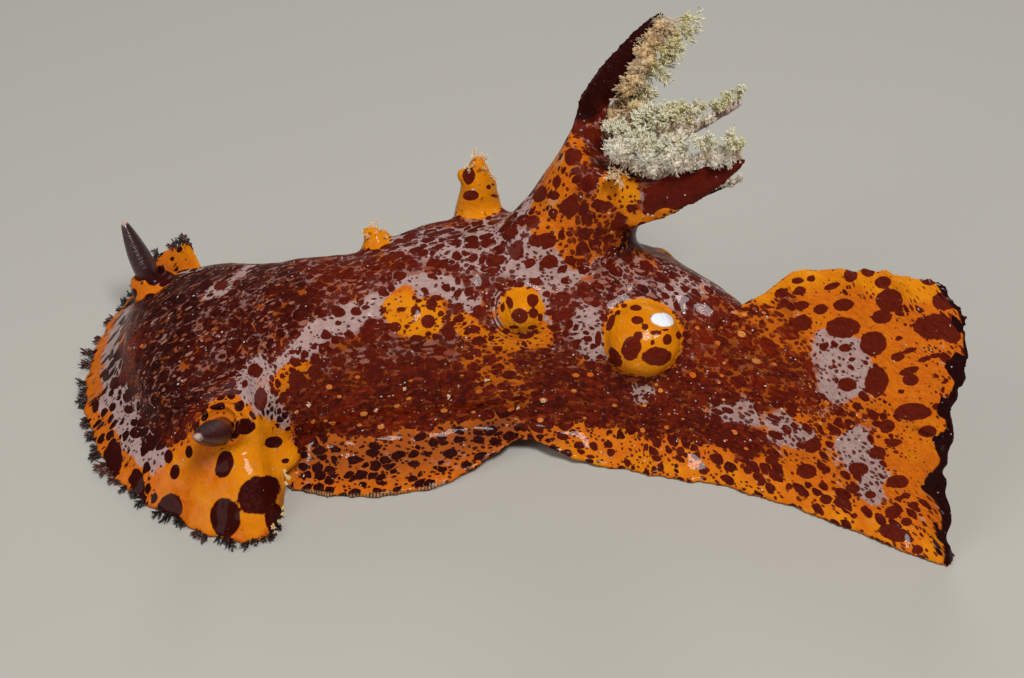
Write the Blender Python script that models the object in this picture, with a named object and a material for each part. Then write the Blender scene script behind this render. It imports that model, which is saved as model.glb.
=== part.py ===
"""Tiles sea slug resting on its foot, head to -X, tail to +X, left side to -Y.

Lengths in the constants are millimetres; every mesh is written in metres.
A place on the body is given by u (the x of the foot's midline), w (sideways from the
midline, plus towards the right side) and z (height above the ground).
"""
import math

import bmesh
import bpy
import numpy as np

MM = 0.001
GAP = 0.3
SEED = 41
BOX_MIDDLE = (-2.883, -5.744)

# Foot midline, and the way each cross-section is turned, in degrees
MIDLINE = ((-47, -7.5), (-44, -6.0), (-40, -4.0), (-36, -2.6), (-32, -1.9), (-26, -1.9),
           (-20, -2.4), (-10, -1.6), (0, -0.8), (8, -0.9), (15, -1.9), (22, -4.6),
           (30, -10.0), (37.4, -16.8), (45.2, -23.2), (49, -26.7), (50.6, -29.3))
TURN = ((-47, 27), (-38, 27), (-33, 17), (-27, 5), (-20, 0), (5, 0), (15, -7), (24, -22),
        (30, -29), (51, -29))

# Where the body is parted along u
HEAD_FRONT = -46.1
NECK = -31.8
WAIST_SPLIT = -7.9
TAIL_SPLIT = 21.4
FOOT_FRONT = -39.8
TAIL_TIP = 50.6

# Upper body: pedal groove, half widths at the groove, mantle ridges and crown of the back
GROOVE_Z = ((-47, 4.0), (-34, 3.8), (-20, 3.5), (15, 3.5), (30, 3.0), (50.6, 2.2))
WAIST_NEAR = ((-46.1, 3.0), (-45.2, 8.5), (-43.4, 13.0), (-40.9, 16.0), (-38, 16.8),
              (-35, 16.0), (-32, 14.3), (-28, 12.5), (-19, 9.5), (-10, 9.0), (0, 8.5),
              (8, 9.0), (15, 9.5), (22, 8.0), (28, 6.0), (37.4, 3.2), (45.2, 1.8), (50.6, -0.1))
WAIST_FAR = ((-46.1, 3.0), (-45.2, 8.5), (-43.4, 13.0), (-40.9, 16.0), (-38, 16.8),
             (-35, 15.6), (-32, 13.5), (-28, 11.5), (-19, 9.5), (-10, 10.0), (0, 10.5),
             (8, 10.8), (15, 10.0), (22, 7.5), (28, 5.4), (37.4, 3.5), (45.2, 1.7), (50.6, 1.2))
RIDGE_NEAR = ((-46.1, -2.4), (-44.5, -9.0), (-42, -12.8), (-38, -15.0), (-34, -14.0),
              (-28, -11.0), (-19, -6.1), (-10, -5.6), (0, -6.0), (8, -6.1), (15, -5.6),
              (22, -4.3), (28, -1.6), (37.4, 1.9), (45.2, 3.6), (50.6, 6.4))
RIDGE_NEAR_Z = ((-46.1, 7.4), (-44.5, 8.2), (-42, 9.0), (-38, 9.8), (-34, 11.5), (-28, 14.5),
                (-19, 17.5), (-10, 18.0), (0, 18.5), (8, 18.0), (15, 16.0), (22, 14.5),
                (28, 14.0), (37.4, 13.5), (50.6, 13.5))
RIDGE_FAR = ((-46.1, 2.4), (-44.5, 9.0), (-42, 13.0), (-38, 15.0), (-34, 12.0), (-28, 6.8),
             (-19, 5.6), (-10, 8.6), (0, 9.3), (8, 9.6), (15, 8.6), (22, 6.2), (28, 4.8),
             (37.4, 5.2), (45.2, 5.4), (50.6, 7.6))
RIDGE_FAR_Z = ((-46.1, 7.4), (-44.5, 8.2), (-42, 9.0), (-38, 10.0), (-34, 12.5), (-28, 16.6),
               (-19, 19.4), (-10, 20.8), (0, 21.4), (8, 20.5), (15, 18.0), (22, 16.5),
               (28, 14.8), (37.4, 13.6), (50.6, 13.5))
CROWN = ((-46.1, 0.0), (-34, -0.5), (-19, 0.5), (0, 2.0), (15, 1.8), (22, 1.6), (28, 2.0),
         (37.4, 4.2), (45.2, 4.9), (50.6, 7.5))
CROWN_Z = ((-46.1, 8.0), (-44.5, 9.6), (-42, 11.4), (-38, 13.6), (-34, 15.3), (-28, 18.0),
           (-19, 20.8), (-10, 22.6), (0, 23.6), (8, 23.6), (15, 21.4), (22, 19.2), (28, 17.0),
           (37.4, 15.5), (50.6, 15.0))

# Swell of the flanks between groove and ridge, and where it fades at head and tail
PLUMP = 0.9
PLUMP_HEAD = -46.0
PLUMP_TAIL = 32.0
PLUMP_FADE = 8.0
PLUMP_LEAST = 0.25
# Shares of the way from groove to ridge, and from ridge to crown, of the points between them
FLANK_LOW = 0.32
FLANK_HIGH = 0.70
FLANK_RISE = 0.3
BACK_SHARE = (0.48, 0.70)

# Foot: reach of the margin on each side, lift of the near margin, thickness at the edge
FOOT_NEAR = ((-39.8, 3.0), (-38.6, 7.6), (-36, 11.5), (-32, 15.0), (-27, 17.2), (-14, 17.6),
             (-10, 17.2), (-5, 15.3), (-1.5, 13.2), (1.6, 12.2), (4.5, 12.9), (8.3, 13.8),
             (15, 13.7), (22, 12.8), (30, 9.5), (37.4, 6.3), (45.2, 4.4), (49, 3.0), (50.6, 1.2))
FOOT_FAR = ((-39.8, 3.0), (-38.6, 7.4), (-36, 10.5), (-32, 12.2), (-27, 13.0), (-10, 13.4),
            (8, 13.4), (15, 12.4), (22, 10.2), (30, 7.4), (37.4, 5.0), (45.2, 2.9), (50.6, 0.9))
FOOT_LIFT = ((-12, 0.0), (-6, 0.4), (-2, 1.4), (1.6, 2.3), (4.5, 1.8), (8, 0.7), (12, 0.0))
EDGE_THICK = 0.8
EDGE_ROUND = 0.15
EDGE_MIDDLE = 0.45
SOLE_INSET = 0.35
WAIST_SHARE = 0.72
# Points of the sloping margins: share of the way out, share of the height left there
FAR_SLOPE = ((0.35, 0.50), (0.70, 0.16))
# The same for the near margin, with the share of the lift that each point takes
NEAR_SLOPE = ((0.70, 0.16, 0.9), (0.35, 0.55, 0.6))
SOLE_FAR = 0.5
SOLE_NEAR = 0.45
FOLD_INNER = (0.62, 0.1, 0.12)
FOLD_OUTER = (0.2, 0.55)

# Tail paddle: slope of its near face, rear margin against height, crest height and thickness
PADDLE_SLOPE = 0.55
REAR_MARGIN = ((0, 7.7), (2.7, 5.8), (7.9, 2.9), (14.1, 2.2), (21.9, 1.4), (24.4, 0.1),
               (26.4, -2.7), (27.3, -4.7))
MARGIN_START = 33.0
CREST_START = 24.6
CREST_TOP = ((24.6, 18.4), (26.0, 19.6), (28.0, 21.5), (29.5, 23.9), (31.5, 25.1), (35.6, 25.9),
             (41, 26.7), (50.6, 27.2))
CREST_ROOT_THICK = ((24.6, 2.2), (37.4, 2.4), (50.6, 1.2))
CREST_EDGE_THICK = 0.9
CREST_SINK = 2.2
CREST_LEVELS = (0.0, 0.25, 0.5, 0.75, 0.93)

# Oral veil in the head's own axes (forward, sideways): one row per place on the margin
HEAD_MIDDLE = (-40.0, -4.0)
HEAD_TURN = math.radians(27.0)
VEIL_ROOT_TOP = 7.6
VEIL_ROOT_BOTTOM = 4.4
VEIL_EDGE = (("left back", -6.0, -18.8, 4.8), ("left corner", -3.1, -23.4, 0.8),
             ("left lobe", 0.3, -25.3, 0.7), ("left cheek", 4.7, -22.5, 0.7),
             ("left brow", 8.6, -16.6, 0.7), ("left front", 12.2, -10.0, 0.7),
             ("middle left", 13.4, -3.4, 0.7), ("middle right", 13.3, 3.4, 0.7),
             ("right front", 11.7, 10.0, 0.7), ("right brow", 9.0, 16.0, 0.7),
             ("right cheek", 5.6, 20.6, 0.9), ("right lobe", 1.0, 22.6, 3.4),
             ("right corner", -3.4, 21.8, 9.0), ("right back", -7.0, 18.8, 11.6))
VEIL_ROOT = ((-6.6, -15.4), (-4.6, -16.3), (-2.0, -16.8), (1.0, -16.0), (3.8, -13.0),
             (5.8, -8.5), (6.8, -2.6), (6.8, 2.6), (5.8, 8.5), (3.8, 13.0), (1.0, 16.0),
             (-2.0, 16.8), (-4.6, 16.4), (-7.0, 15.0))
VEIL_SINK = 1.4
VEIL_SPLITS = (0.0, 3.6, 8.9, 13.0)
VEIL_TRIM = 0.03
VEIL_THICK = 0.7
VEIL_LEAST = 0.6
VEIL_FALL = 1.3
VEIL_LEVELS = (0.0, 0.28, 0.56, 0.80, 1.0)
# Swell of the left lobe: height, place on the margin, spread
LOBE_SWELL = 1.5
LOBE_PLACE = 1.8
LOBE_SPREAD = 1.4
FRINGE_COUNT = 20
FRINGE_SPAN = (0.35, 12.75)
FRINGE_CLEAR = 0.22
FRINGE_LENGTH = 1.7
FRINGE_ROOT = 0.9
FRINGE_RADIUS = (0.62, 0.46, 0.24)
FRINGE_LOWEST = 0.62
# Branches of one papilla of the margin: lean to the side, share of the length, of the width
FRINGE_BRANCHES = ((0.0, 1.0, 1.0), (0.75, 0.72, 0.85), (-0.75, 0.72, 0.85))

# Small forms on the head and back: name, side, u, w, z and size
RHINOPHORES = (("left", (-33.3, -16.6, 9.4), (-34.6, -23.4, 14.6)),
               ("right", (-46.3, 9.2, 9.2), (-49.4, 12.2, 17.2)))
HORN_PLACES = (0.0, 0.16, 0.34, 0.52, 0.70, 0.86, 0.96, 1.0)
HORN_RADIUS = (1.5, 1.8, 2.1, 2.0, 1.65, 1.15, 0.68, 0.32)
HORN_FLATNESS = 0.8
HORN_SAG = 0.5
SHEATH_RADIUS = 3.1
SHEATH_HEIGHT = 3.0
SHEATH_SINK = 0.6
SHEATH_LEAN = 0.8
# Muzzle along the head's own forward axis, its mouth slit and the small tentacles
MUZZLE_HEIGHT = 2.5
MUZZLE_PLACES = (-3.4, -2.6, -0.8, 1.4, 3.4, 4.9, 5.6)
MUZZLE_HALF_WIDTH = (1.6, 2.7, 3.6, 3.7, 3.2, 2.2, 1.0)
SLIT = ((3.4, 0.6), (4.6, 1.6), (6.4, 2.8))
SLIT_HALF_WIDTH = (0.3, 0.34, 0.38)
SLIT_HALF_HEIGHT = (0.7, 0.9, 1.1)
TENTACLE_ROOT = (3.2, 5.2, 3.3)
TENTACLE_RUN = (0.9, 2.6, -1.5)
TENTACLE_PLACES = (0.0, 0.35, 0.7, 1.0)
TENTACLE_HALF_WIDTH = (1.5, 1.7, 1.2, 0.5)
TENTACLE_HALF_HEIGHT = (1.3, 1.0, 0.7, 0.4)
GLOBES = (("papilla_left_1", (-12.0, -6.0, 16.2), (-0.1, -0.6, 0.8), 3.4, 2.6),
          ("papilla_left_2", (1.1, -6.1, 17.3), (0.0, -0.45, 0.9), 2.8, 3.9),
          ("papilla_left_3", (15.3, -7.4, 14.1), (0.0, -0.55, 0.84), 4.5, 5.5),
          ("papilla_right_3", (18.2, 7.6, 11.6), (0.1, 0.9, 0.42), 3.2, 4.4))
LOBES = (("papilla_right_1", (-16.4, 3.6, 19.4), (-0.1, 0.3, 0.95), 1.9, 3.0),
         ("papilla_right_2", (-4.2, 8.6, 19.8), (-0.02, 0.05, 1.0), 3.0, 9.2))
DOME_LEVELS = (-0.55, 0.0, 0.28, 0.55, 0.78, 0.93, 1.0)
DOME_PROFILE = (1.0, 0.97, 0.76, 0.42, 0.12)
LOBE_LEVELS = (-0.3, 0.0, 0.3, 0.6, 0.85, 1.0)
LOBE_PROFILE = (1.0, 1.0, 0.82, 0.58, 0.36, 0.16)
BUD_ANGLES = (0.4, 2.4, 4.4)
BUD_LEVEL = 0.62
BUD_LENGTH = 0.85
BUD_RADIUS = (0.30, 0.22, 0.10)
UPRIGHT_SIDE = (0.3, 0.9, 0.2)
KNOB_SIDES = 12
CUT_REACH = 10.0

# Gill stalk and the five gill leaves: root, middle and tip of each stem
STALK_AXIS = ((4.8, 1.2, 14.0), (6.6, 2.0, 20.4), (8.6, 2.8, 25.6), (10.4, 3.0, 30.2),
              (11.8, 3.2, 33.6))
STALK_HALF_LENGTH = (14.0, 9.4, 6.9, 6.3, 5.8)
STALK_HALF_WIDTH = (7.2, 6.2, 5.4, 5.4, 5.0)
GILL_STEMS = {"gill_1": ((8.2, 4.6, 29.6), (8.0, 7.0, 39.8), (17.2, 12.0, 47.4)),
              "gill_2": ((11.6, -0.8, 29.2), (18.4, -4.0, 31.8), (25.4, -4.4, 38.2)),
              "gill_3": ((13.6, 2.2, 29.2), (19.6, 2.6, 27.4), (26.8, 2.8, 30.6)),
              "gill_4": ((12.6, 6.0, 30.6), (19.0, 9.4, 31.2), (27.4, 12.0, 34.8)),
              "gill_5": ((11.4, 1.6, 31.4), (14.8, 1.8, 36.0), (20.8, 3.4, 38.6))}
# For each leaf: width and thickness at the root, filaments, their reach, their lean
GILL_SIZES = {"gill_1": (6.2, 1.4, 12, 6.0, 0.45), "gill_2": (5.6, 1.3, 10, 3.6, 0.0),
              "gill_3": (4.4, 1.3, 8, 2.8, 0.0), "gill_4": (2.4, 1.1, 11, 3.2, 0.0),
              "gill_5": (2.8, 1.1, 10, 3.4, -0.1)}
LEAF_ROWS = 7
LEAF_TAPER = 0.75
LEAF_TIP = 0.35
STEEP_RISE = 12.0
FIRST_FILAMENT = 0.16
FILAMENT_SINK = 0.8
FILAMENT_WIDTH = (0.54, 0.48, 0.28)
FILAMENT_THICK = (0.50, 0.44, 0.26)
TWIG_WIDTH = (0.38, 0.26)
TWIG_THICK = (0.36, 0.25)

COLOURS = {"flesh": (0.42, 0.12, 0.03), "dark": (0.09, 0.02, 0.015), "orange": (0.75, 0.26, 0.03),
           "yellow": (0.85, 0.40, 0.06), "pale": (0.62, 0.55, 0.38), "foot": (0.60, 0.20, 0.03)}


def along(pairs, x):
    """Smooth curve through (x, value) pairs that never swings past them."""
    px = np.array([p[0] for p in pairs], float)
    py = np.array([p[1] for p in pairs], float)
    step = np.diff(px)
    rise = np.diff(py) / step
    slope = np.zeros(len(px))
    both = rise[:-1] * rise[1:]
    mean = 2.0 * both / np.where(both > 0, rise[:-1] + rise[1:], 1.0)
    slope[1:-1] = np.where(both > 0, mean, 0.0)
    slope[0] = rise[0]
    slope[-1] = rise[-1]
    x = np.clip(np.asarray(x, float), px[0], px[-1])
    i = np.clip(np.searchsorted(px, x, side="right") - 1, 0, len(step) - 1)
    t = (x - px[i]) / step[i]
    a = py[i] * (1 + 2 * t) * (1 - t) ** 2 + py[i + 1] * t * t * (3 - 2 * t)
    b = step[i] * (slope[i] * t * (1 - t) ** 2 + slope[i + 1] * t * t * (t - 1))
    return a + b


def smooth_line(points, per_span):
    """Curve through control points, with per_span steps between neighbours."""
    p = np.array(points, float)
    ends = np.vstack((2 * p[0] - p[1], p, 2 * p[-1] - p[-2]))
    out = []
    for k in range(len(p) - 1):
        a, b, c, d = ends[k:k + 4]
        for t in np.arange(per_span) / per_span:
            curve = 2 * b + (c - a) * t + (2 * a - 5 * b + 4 * c - d) * t * t
            out.append(0.5 * (curve + (3 * b - a - 3 * c + d) * t ** 3))
    out.append(p[-1])
    return np.array(out)


def place(u, w, z):
    """Point of the body frame (u, w, z) in the design axes."""
    w = np.asarray(w, float)
    z = np.asarray(z, float)
    turn = math.radians(float(along(TURN, u)))
    ahead = np.array((math.cos(turn), math.sin(turn)))
    side = np.array((-math.sin(turn), math.cos(turn)))
    rear = np.clip((u - MARGIN_START) / (TAIL_TIP - MARGIN_START), 0.0, 1.0)
    shift = (along(REAR_MARGIN, z) - REAR_MARGIN[0][1]) * rear
    x = u + side[0] * w + ahead[0] * shift
    y = float(along(MIDLINE, u)) + side[1] * w + ahead[1] * shift
    return np.stack((x, y, z), axis=-1)


def head_place(forward, sideways, z):
    """Point given in the head's own axes."""
    ahead = np.array((-math.cos(HEAD_TURN), -math.sin(HEAD_TURN)))
    side = np.array((-math.sin(HEAD_TURN), math.cos(HEAD_TURN)))
    xy = np.array(HEAD_MIDDLE) + ahead * forward + side * sideways
    return np.array((xy[0], xy[1], z))


def widen(loop, amount):
    """Closed (w, z) loop moved outwards by amount."""
    if amount == 0:
        return loop
    before = np.roll(loop, 1, axis=0)
    after = np.roll(loop, -1, axis=0)
    tangent = after - before
    normal = np.stack((tangent[:, 1], -tangent[:, 0]), axis=1)
    normal /= np.linalg.norm(normal, axis=1)[:, None] + 1e-9
    area = np.sum(loop[:, 0] * after[:, 1] - after[:, 0] * loop[:, 1])
    return loop + normal * amount * (1.0 if area > 0 else -1.0)


def body_loop(u):
    """Cross-section of the upper body, from the left groove over the back to the right."""
    groove = float(along(GROOVE_Z, u))
    left = np.array((-float(along(WAIST_NEAR, u)), groove))
    right = np.array((float(along(WAIST_FAR, u)), groove))
    left_ridge = np.array((float(along(RIDGE_NEAR, u)), float(along(RIDGE_NEAR_Z, u))))
    right_ridge = np.array((float(along(RIDGE_FAR, u)), float(along(RIDGE_FAR_Z, u))))
    crown = np.array((float(along(CROWN, u)), float(along(CROWN_Z, u))))
    plump = PLUMP * np.clip((PLUMP_TAIL - u) / PLUMP_FADE, PLUMP_LEAST, 1.0)
    plump = plump * np.clip((u - PLUMP_HEAD) / PLUMP_FADE, 0.0, 1.0)
    control = [left]
    control.append(left + (left_ridge - left) * FLANK_LOW + np.array((-plump, 0.0)))
    control.append(left + (left_ridge - left) * FLANK_HIGH + np.array((-plump, FLANK_RISE)))
    control.append(left_ridge)
    control.append(left_ridge + (crown - left_ridge) * np.array(BACK_SHARE))
    control.append(crown)
    control.append(right_ridge + (crown - right_ridge) * np.array(BACK_SHARE))
    control.append(right_ridge)
    control.append(right + (right_ridge - right) * FLANK_HIGH + np.array((plump, FLANK_RISE)))
    control.append(right + (right_ridge - right) * FLANK_LOW + np.array((plump, 0.0)))
    control.append(right)
    return smooth_line(control, 2)


def foot_loop(u):
    """Cross-section of the foot: top under the body, sloping margins, flat sole."""
    top = float(along(GROOVE_Z, u)) - GAP
    near = float(along(FOOT_NEAR, u))
    far = float(along(FOOT_FAR, u))
    near_waist = min(float(along(WAIST_NEAR, u)), near * WAIST_SHARE)
    far_waist = min(float(along(WAIST_FAR, u)), far * WAIST_SHARE)
    near_margin = near - near_waist
    far_margin = far - far_waist
    lift = float(along(FOOT_LIFT, u))
    thick = min(EDGE_THICK, EDGE_MIDDLE * top)
    points = [(far_waist, top)]
    for out, height in FAR_SLOPE:
        points.append((far_waist + out * far_margin, thick + height * (top - thick)))
    points.append((far - EDGE_ROUND, thick))
    points.append((far, EDGE_MIDDLE * thick))
    points.append((far - SOLE_INSET, 0.0))
    points.append((far_waist * SOLE_FAR, 0.0))
    points.append((0.0, 0.0))
    points.append((-near_waist * SOLE_NEAR, 0.0))
    points.append((-near_waist * FOLD_INNER[0] - FOLD_INNER[1] * near, FOLD_INNER[2] * lift))
    points.append((-near_waist - FOLD_OUTER[0] * near_margin, FOLD_OUTER[1] * lift))
    points.append((-near + SOLE_INSET, lift))
    points.append((-near, lift + EDGE_MIDDLE * thick))
    points.append((-near + EDGE_ROUND, lift + thick))
    for out, height, lifted in NEAR_SLOPE:
        low = lift * lifted + thick
        points.append((-near_waist - out * near_margin, low + height * (top - low)))
    points.append((-near_waist, top))
    points.append((0.0, top))
    return np.array(points)


def crest_loop(u):
    """Cross-section of the tail crest: a thin blade standing on the tail."""
    foot = float(along(FOOT_NEAR, u))
    bottom = float(along(CROWN_Z, u)) - CREST_SINK
    top = float(along(CREST_TOP, u))
    root_thick = float(along(CREST_ROOT_THICK, u))
    left = []
    right = []
    for part in CREST_LEVELS:
        z = bottom + (top - bottom) * part
        thick = root_thick + (CREST_EDGE_THICK - root_thick) * part
        face = -foot + PADDLE_SLOPE * z
        left.append((face, z))
        right.append((face + thick, z))
    peak = (-foot + PADDLE_SLOPE * top + CREST_EDGE_THICK * 0.5, top)
    return np.array(left + [peak] + right[::-1])


def add_node(name, points, faces, colour):
    """One named solid with its own material; outward faces, origin at the ground."""
    mesh = bpy.data.meshes.new(name)
    shift = np.array((BOX_MIDDLE[0], BOX_MIDDLE[1], 0.0))
    mesh.from_pydata((np.asarray(points) - shift) * MM, [], faces)
    mesh.validate()
    work = bmesh.new()
    work.from_mesh(mesh)
    bmesh.ops.triangulate(work, faces=work.faces)
    turn_outwards(work)
    work.to_mesh(mesh)
    work.free()
    mesh.shade_smooth()
    node = bpy.data.objects.new(name, mesh)
    bpy.context.scene.collection.objects.link(node)
    paint(node, colour)
    return node


def turn_outwards(work):
    """Face every side of a closed surface outwards."""
    bmesh.ops.recalc_face_normals(work, faces=work.faces)
    if work.calc_volume(signed=True) < 0:
        bmesh.ops.reverse_faces(work, faces=work.faces)


def paint(node, colour):
    """Give the node a Principled material of its own."""
    material = bpy.data.materials.new(node.name)
    material.use_nodes = True
    shader = material.node_tree.nodes["Principled BSDF"]
    shader.inputs["Base Color"].default_value = (*COLOURS[colour], 1.0)
    shader.inputs["Roughness"].default_value = 0.35
    node.data.materials.clear()
    node.data.materials.append(material)


def skin_of(rings):
    """Vertices and faces of a closed solid through rings of equal count."""
    rings = np.asarray(rings)
    count, around = rings.shape[:2]
    faces = []
    for i in range(count - 1):
        for j in range(around):
            a = i * around + j
            b = i * around + (j + 1) % around
            faces.append((a, b, b + around, a + around))
    faces.append(tuple(range(around))[::-1])
    faces.append(tuple(range((count - 1) * around, count * around)))
    return rings.reshape(-1, 3), faces


def loft(name, stations, loop, colour, grow=0.0):
    """Solid through cross-sections of the body frame."""
    rings = []
    for u in stations:
        flat = widen(loop(u), grow)
        rings.append(place(u, flat[:, 0], flat[:, 1]))
    points, faces = skin_of(rings)
    return add_node(name, points, faces, colour)


def tube(name, line, wide, thick, sides, colour, across=(0.0, 0.0, 1.0), grow=0.0):
    """Solid along a line; half sizes wide (square to across) and thick at each point."""
    line = np.asarray(line, float)
    across = np.asarray(across, float)
    tangent = np.gradient(line, axis=0)
    tangent /= np.linalg.norm(tangent, axis=1)[:, None]
    first = np.cross(tangent, across)
    first /= np.linalg.norm(first, axis=1)[:, None] + 1e-9
    second = np.cross(first, tangent)
    angle = np.arange(sides) * 2 * math.pi / sides
    wide = np.asarray(wide, float)[:, None, None] + grow
    thick = np.asarray(thick, float)[:, None, None] + grow
    ring = wide * first[:, None] * np.cos(angle)[None, :, None]
    ring = ring + thick * second[:, None] * np.sin(angle)[None, :, None]
    points, faces = skin_of(line[:, None] + ring)
    return add_node(name, points, faces, colour)


def dome(name, base, axis, radius, height, colour, neck=0.9, grow=0.0):
    """Rounded knob on a short neck; base lies inside the body."""
    base = np.asarray(base, float)
    axis = np.asarray(axis, float)
    axis = axis / np.linalg.norm(axis)
    reach = np.array((neck, neck) + DOME_PROFILE) * radius
    line = base + axis * (np.array(DOME_LEVELS)[:, None] * height)
    return tube(name, line, reach, reach, KNOB_SIDES, colour, across=UPRIGHT_SIDE, grow=grow)


def bend(points, count):
    """Points along the curve set by root, middle and tip."""
    a, b, c = np.array(points, float)
    t = np.linspace(0.0, 1.0, count)[:, None]
    return a * (1 - t) ** 2 + 2 * b * t * (1 - t) + c * t * t


def apply_cut(node, cutter, operation="DIFFERENCE"):
    """Cut the node with another solid and take the cutter away."""
    change = node.modifiers.new("cut", "BOOLEAN")
    change.operation = operation
    change.object = cutter
    change.solver = "EXACT"
    settle(node)
    bpy.data.objects.remove(cutter)
    keep_largest(node)
    return node


def unite(name, pieces, colour):
    """One closed solid from overlapping pieces."""
    group = bpy.data.collections.new(name + "_pieces")
    bpy.context.scene.collection.children.link(group)
    base = pieces[0]
    for piece in pieces[1:]:
        bpy.context.scene.collection.objects.unlink(piece)
        group.objects.link(piece)
    change = base.modifiers.new("unite", "BOOLEAN")
    change.operation = "UNION"
    change.operand_type = "COLLECTION"
    change.collection = group
    change.solver = "MANIFOLD"
    settle(base)
    for piece in pieces[1:]:
        bpy.data.objects.remove(piece)
    bpy.data.collections.remove(group)
    base.name = name
    keep_largest(base)
    paint(base, colour)
    return base


def settle(node):
    """Turn the modified shape into the node's own mesh."""
    bpy.context.view_layer.update()
    graph = bpy.context.evaluated_depsgraph_get()
    mesh = bpy.data.meshes.new_from_object(node.evaluated_get(graph))
    node.modifiers.clear()
    node.data = mesh


def keep_largest(node):
    """Keep the closed surface with the most room inside; drop slivers; make it tidy."""
    work = bmesh.new()
    work.from_mesh(node.data)
    bmesh.ops.remove_doubles(work, verts=work.verts, dist=0.0005 * MM)
    left = set(work.verts)
    islands = []
    while left:
        seed = left.pop()
        island = {seed}
        queue = [seed]
        while queue:
            vert = queue.pop()
            for edge in vert.link_edges:
                other = edge.other_vert(vert)
                if other not in island:
                    island.add(other)
                    queue.append(other)
        left -= island
        islands.append(island)
    best = max(islands, key=len)
    for island in islands:
        if island is not best:
            bmesh.ops.delete(work, geom=list(island), context="VERTS")
    turn_outwards(work)
    work.to_mesh(node.data)
    work.free()
    node.data.shade_smooth()


def steps(first, last, count):
    """Evenly spaced stations."""
    return list(np.linspace(first, last, count))


def head_stations():
    """Rings close together where the head rounds off in front."""
    return [HEAD_FRONT, -45.7, -45.1, -44.3, -43.2, -41.8, -40.2, -38.4, -36.4, -34.2,
            NECK - GAP / 2]


def body_cutter(first, last, count):
    """The upper body grown by the gap, for shaping what stands on it."""
    return loft("cutter", steps(first, last, count), body_loop, "flesh", grow=GAP)


def make_body():
    """Head, two lengths of trunk, tail and crest."""
    half = GAP / 2
    loft("head", head_stations(), body_loop, "dark")
    loft("trunk_front", steps(NECK + half, WAIST_SPLIT - half, 10), body_loop, "dark")
    loft("trunk_rear", steps(WAIST_SPLIT + half, TAIL_SPLIT - half, 11), body_loop, "flesh")
    loft("tail", steps(TAIL_SPLIT + half, TAIL_TIP, 12), body_loop, "flesh")
    crest = loft("tail_crest", steps(CREST_START, TAIL_TIP, 10), crest_loop, "orange")
    apply_cut(crest, loft("cutter", steps(TAIL_SPLIT + 1.0, TAIL_TIP + 0.4, 12), body_loop,
                          "flesh", grow=GAP))


def make_foot():
    """Three lengths of foot under the body."""
    half = GAP / 2
    front = [FOOT_FRONT, -39.3, -38.4, -37.0, -35.0, -32.0, -28.5, -24.0, -18.0, -12.5]
    loft("foot_front", front + [WAIST_SPLIT - half], foot_loop, "foot")
    loft("foot_middle", steps(WAIST_SPLIT + half, TAIL_SPLIT - half, 13), foot_loop, "foot")
    rear = steps(TAIL_SPLIT + half, 48.6, 10) + [49.8, TAIL_TIP]
    loft("foot_rear", rear, foot_loop, "foot")


def veil_row(k, root_extra=0.0):
    """Cross-section of the veil at margin place k: top from root to edge, then the underside."""
    places = np.arange(len(VEIL_EDGE))
    edge = [float(along(list(zip(places, [row[i] for row in VEIL_EDGE])), k)) for i in (1, 2, 3)]
    root = [float(along(list(zip(places, [row[i] for row in VEIL_ROOT])), k)) for i in (0, 1)]
    root = np.array(root)
    rim = np.array(edge[:2])
    inward = (root - rim) / np.linalg.norm(root - rim)
    root = root + inward * root_extra
    rim_z = edge[2]
    swell = LOBE_SWELL * math.exp(-((k - LOBE_PLACE) / LOBE_SPREAD) ** 2)
    top = []
    low = []
    for part in VEIL_LEVELS:
        xy = root + (rim - root) * part
        fall = (1 - part) ** VEIL_FALL
        z = rim_z + (VEIL_ROOT_TOP - rim_z) * fall + swell * math.sin(math.pi * part)
        under_rim = rim_z - VEIL_THICK
        under = under_rim + (VEIL_ROOT_BOTTOM - under_rim) * fall - EDGE_ROUND
        top.append(head_place(xy[0], xy[1], z))
        low.append(head_place(xy[0], xy[1], min(max(0.0, under), z - VEIL_LEAST)))
    return np.array(top + low[::-1])


def fringe(rng, k):
    """Short branched papilla on the margin of the veil."""
    row = veil_row(k)
    rim = 0.5 * (row[4] + row[5])
    inner = 0.5 * (row[3] + row[6])
    out = (rim - inner) / np.linalg.norm(rim - inner)
    side = np.cross(out, (0.0, 0.0, 1.0))
    size = FRINGE_LENGTH * rng.uniform(0.75, 1.25)
    pieces = []
    root = rim - out * FRINGE_ROOT
    root[2] = max(root[2], FRINGE_LOWEST)
    for lean, length, width in FRINGE_BRANCHES:
        way = out + side * (lean + rng.uniform(-0.15, 0.15))
        way[2] = rng.uniform(0.02, 0.10) + max(0.0, rim[2] - 1.0) * 0.02
        way /= np.linalg.norm(way)
        reach = np.array((0.0, 0.55, 1.0)) * (FRINGE_ROOT + size * length)
        line = root + way * reach[:, None]
        radius = np.minimum(np.array(FRINGE_RADIUS) * width, line[:, 2] - 0.02)
        keep = slice(0, 3) if lean == 0 else slice(0, 3, 2)
        pieces.append(tube("fringe", line[keep], radius[keep], radius[keep] * 0.9, 4, "dark"))
    return pieces


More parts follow.
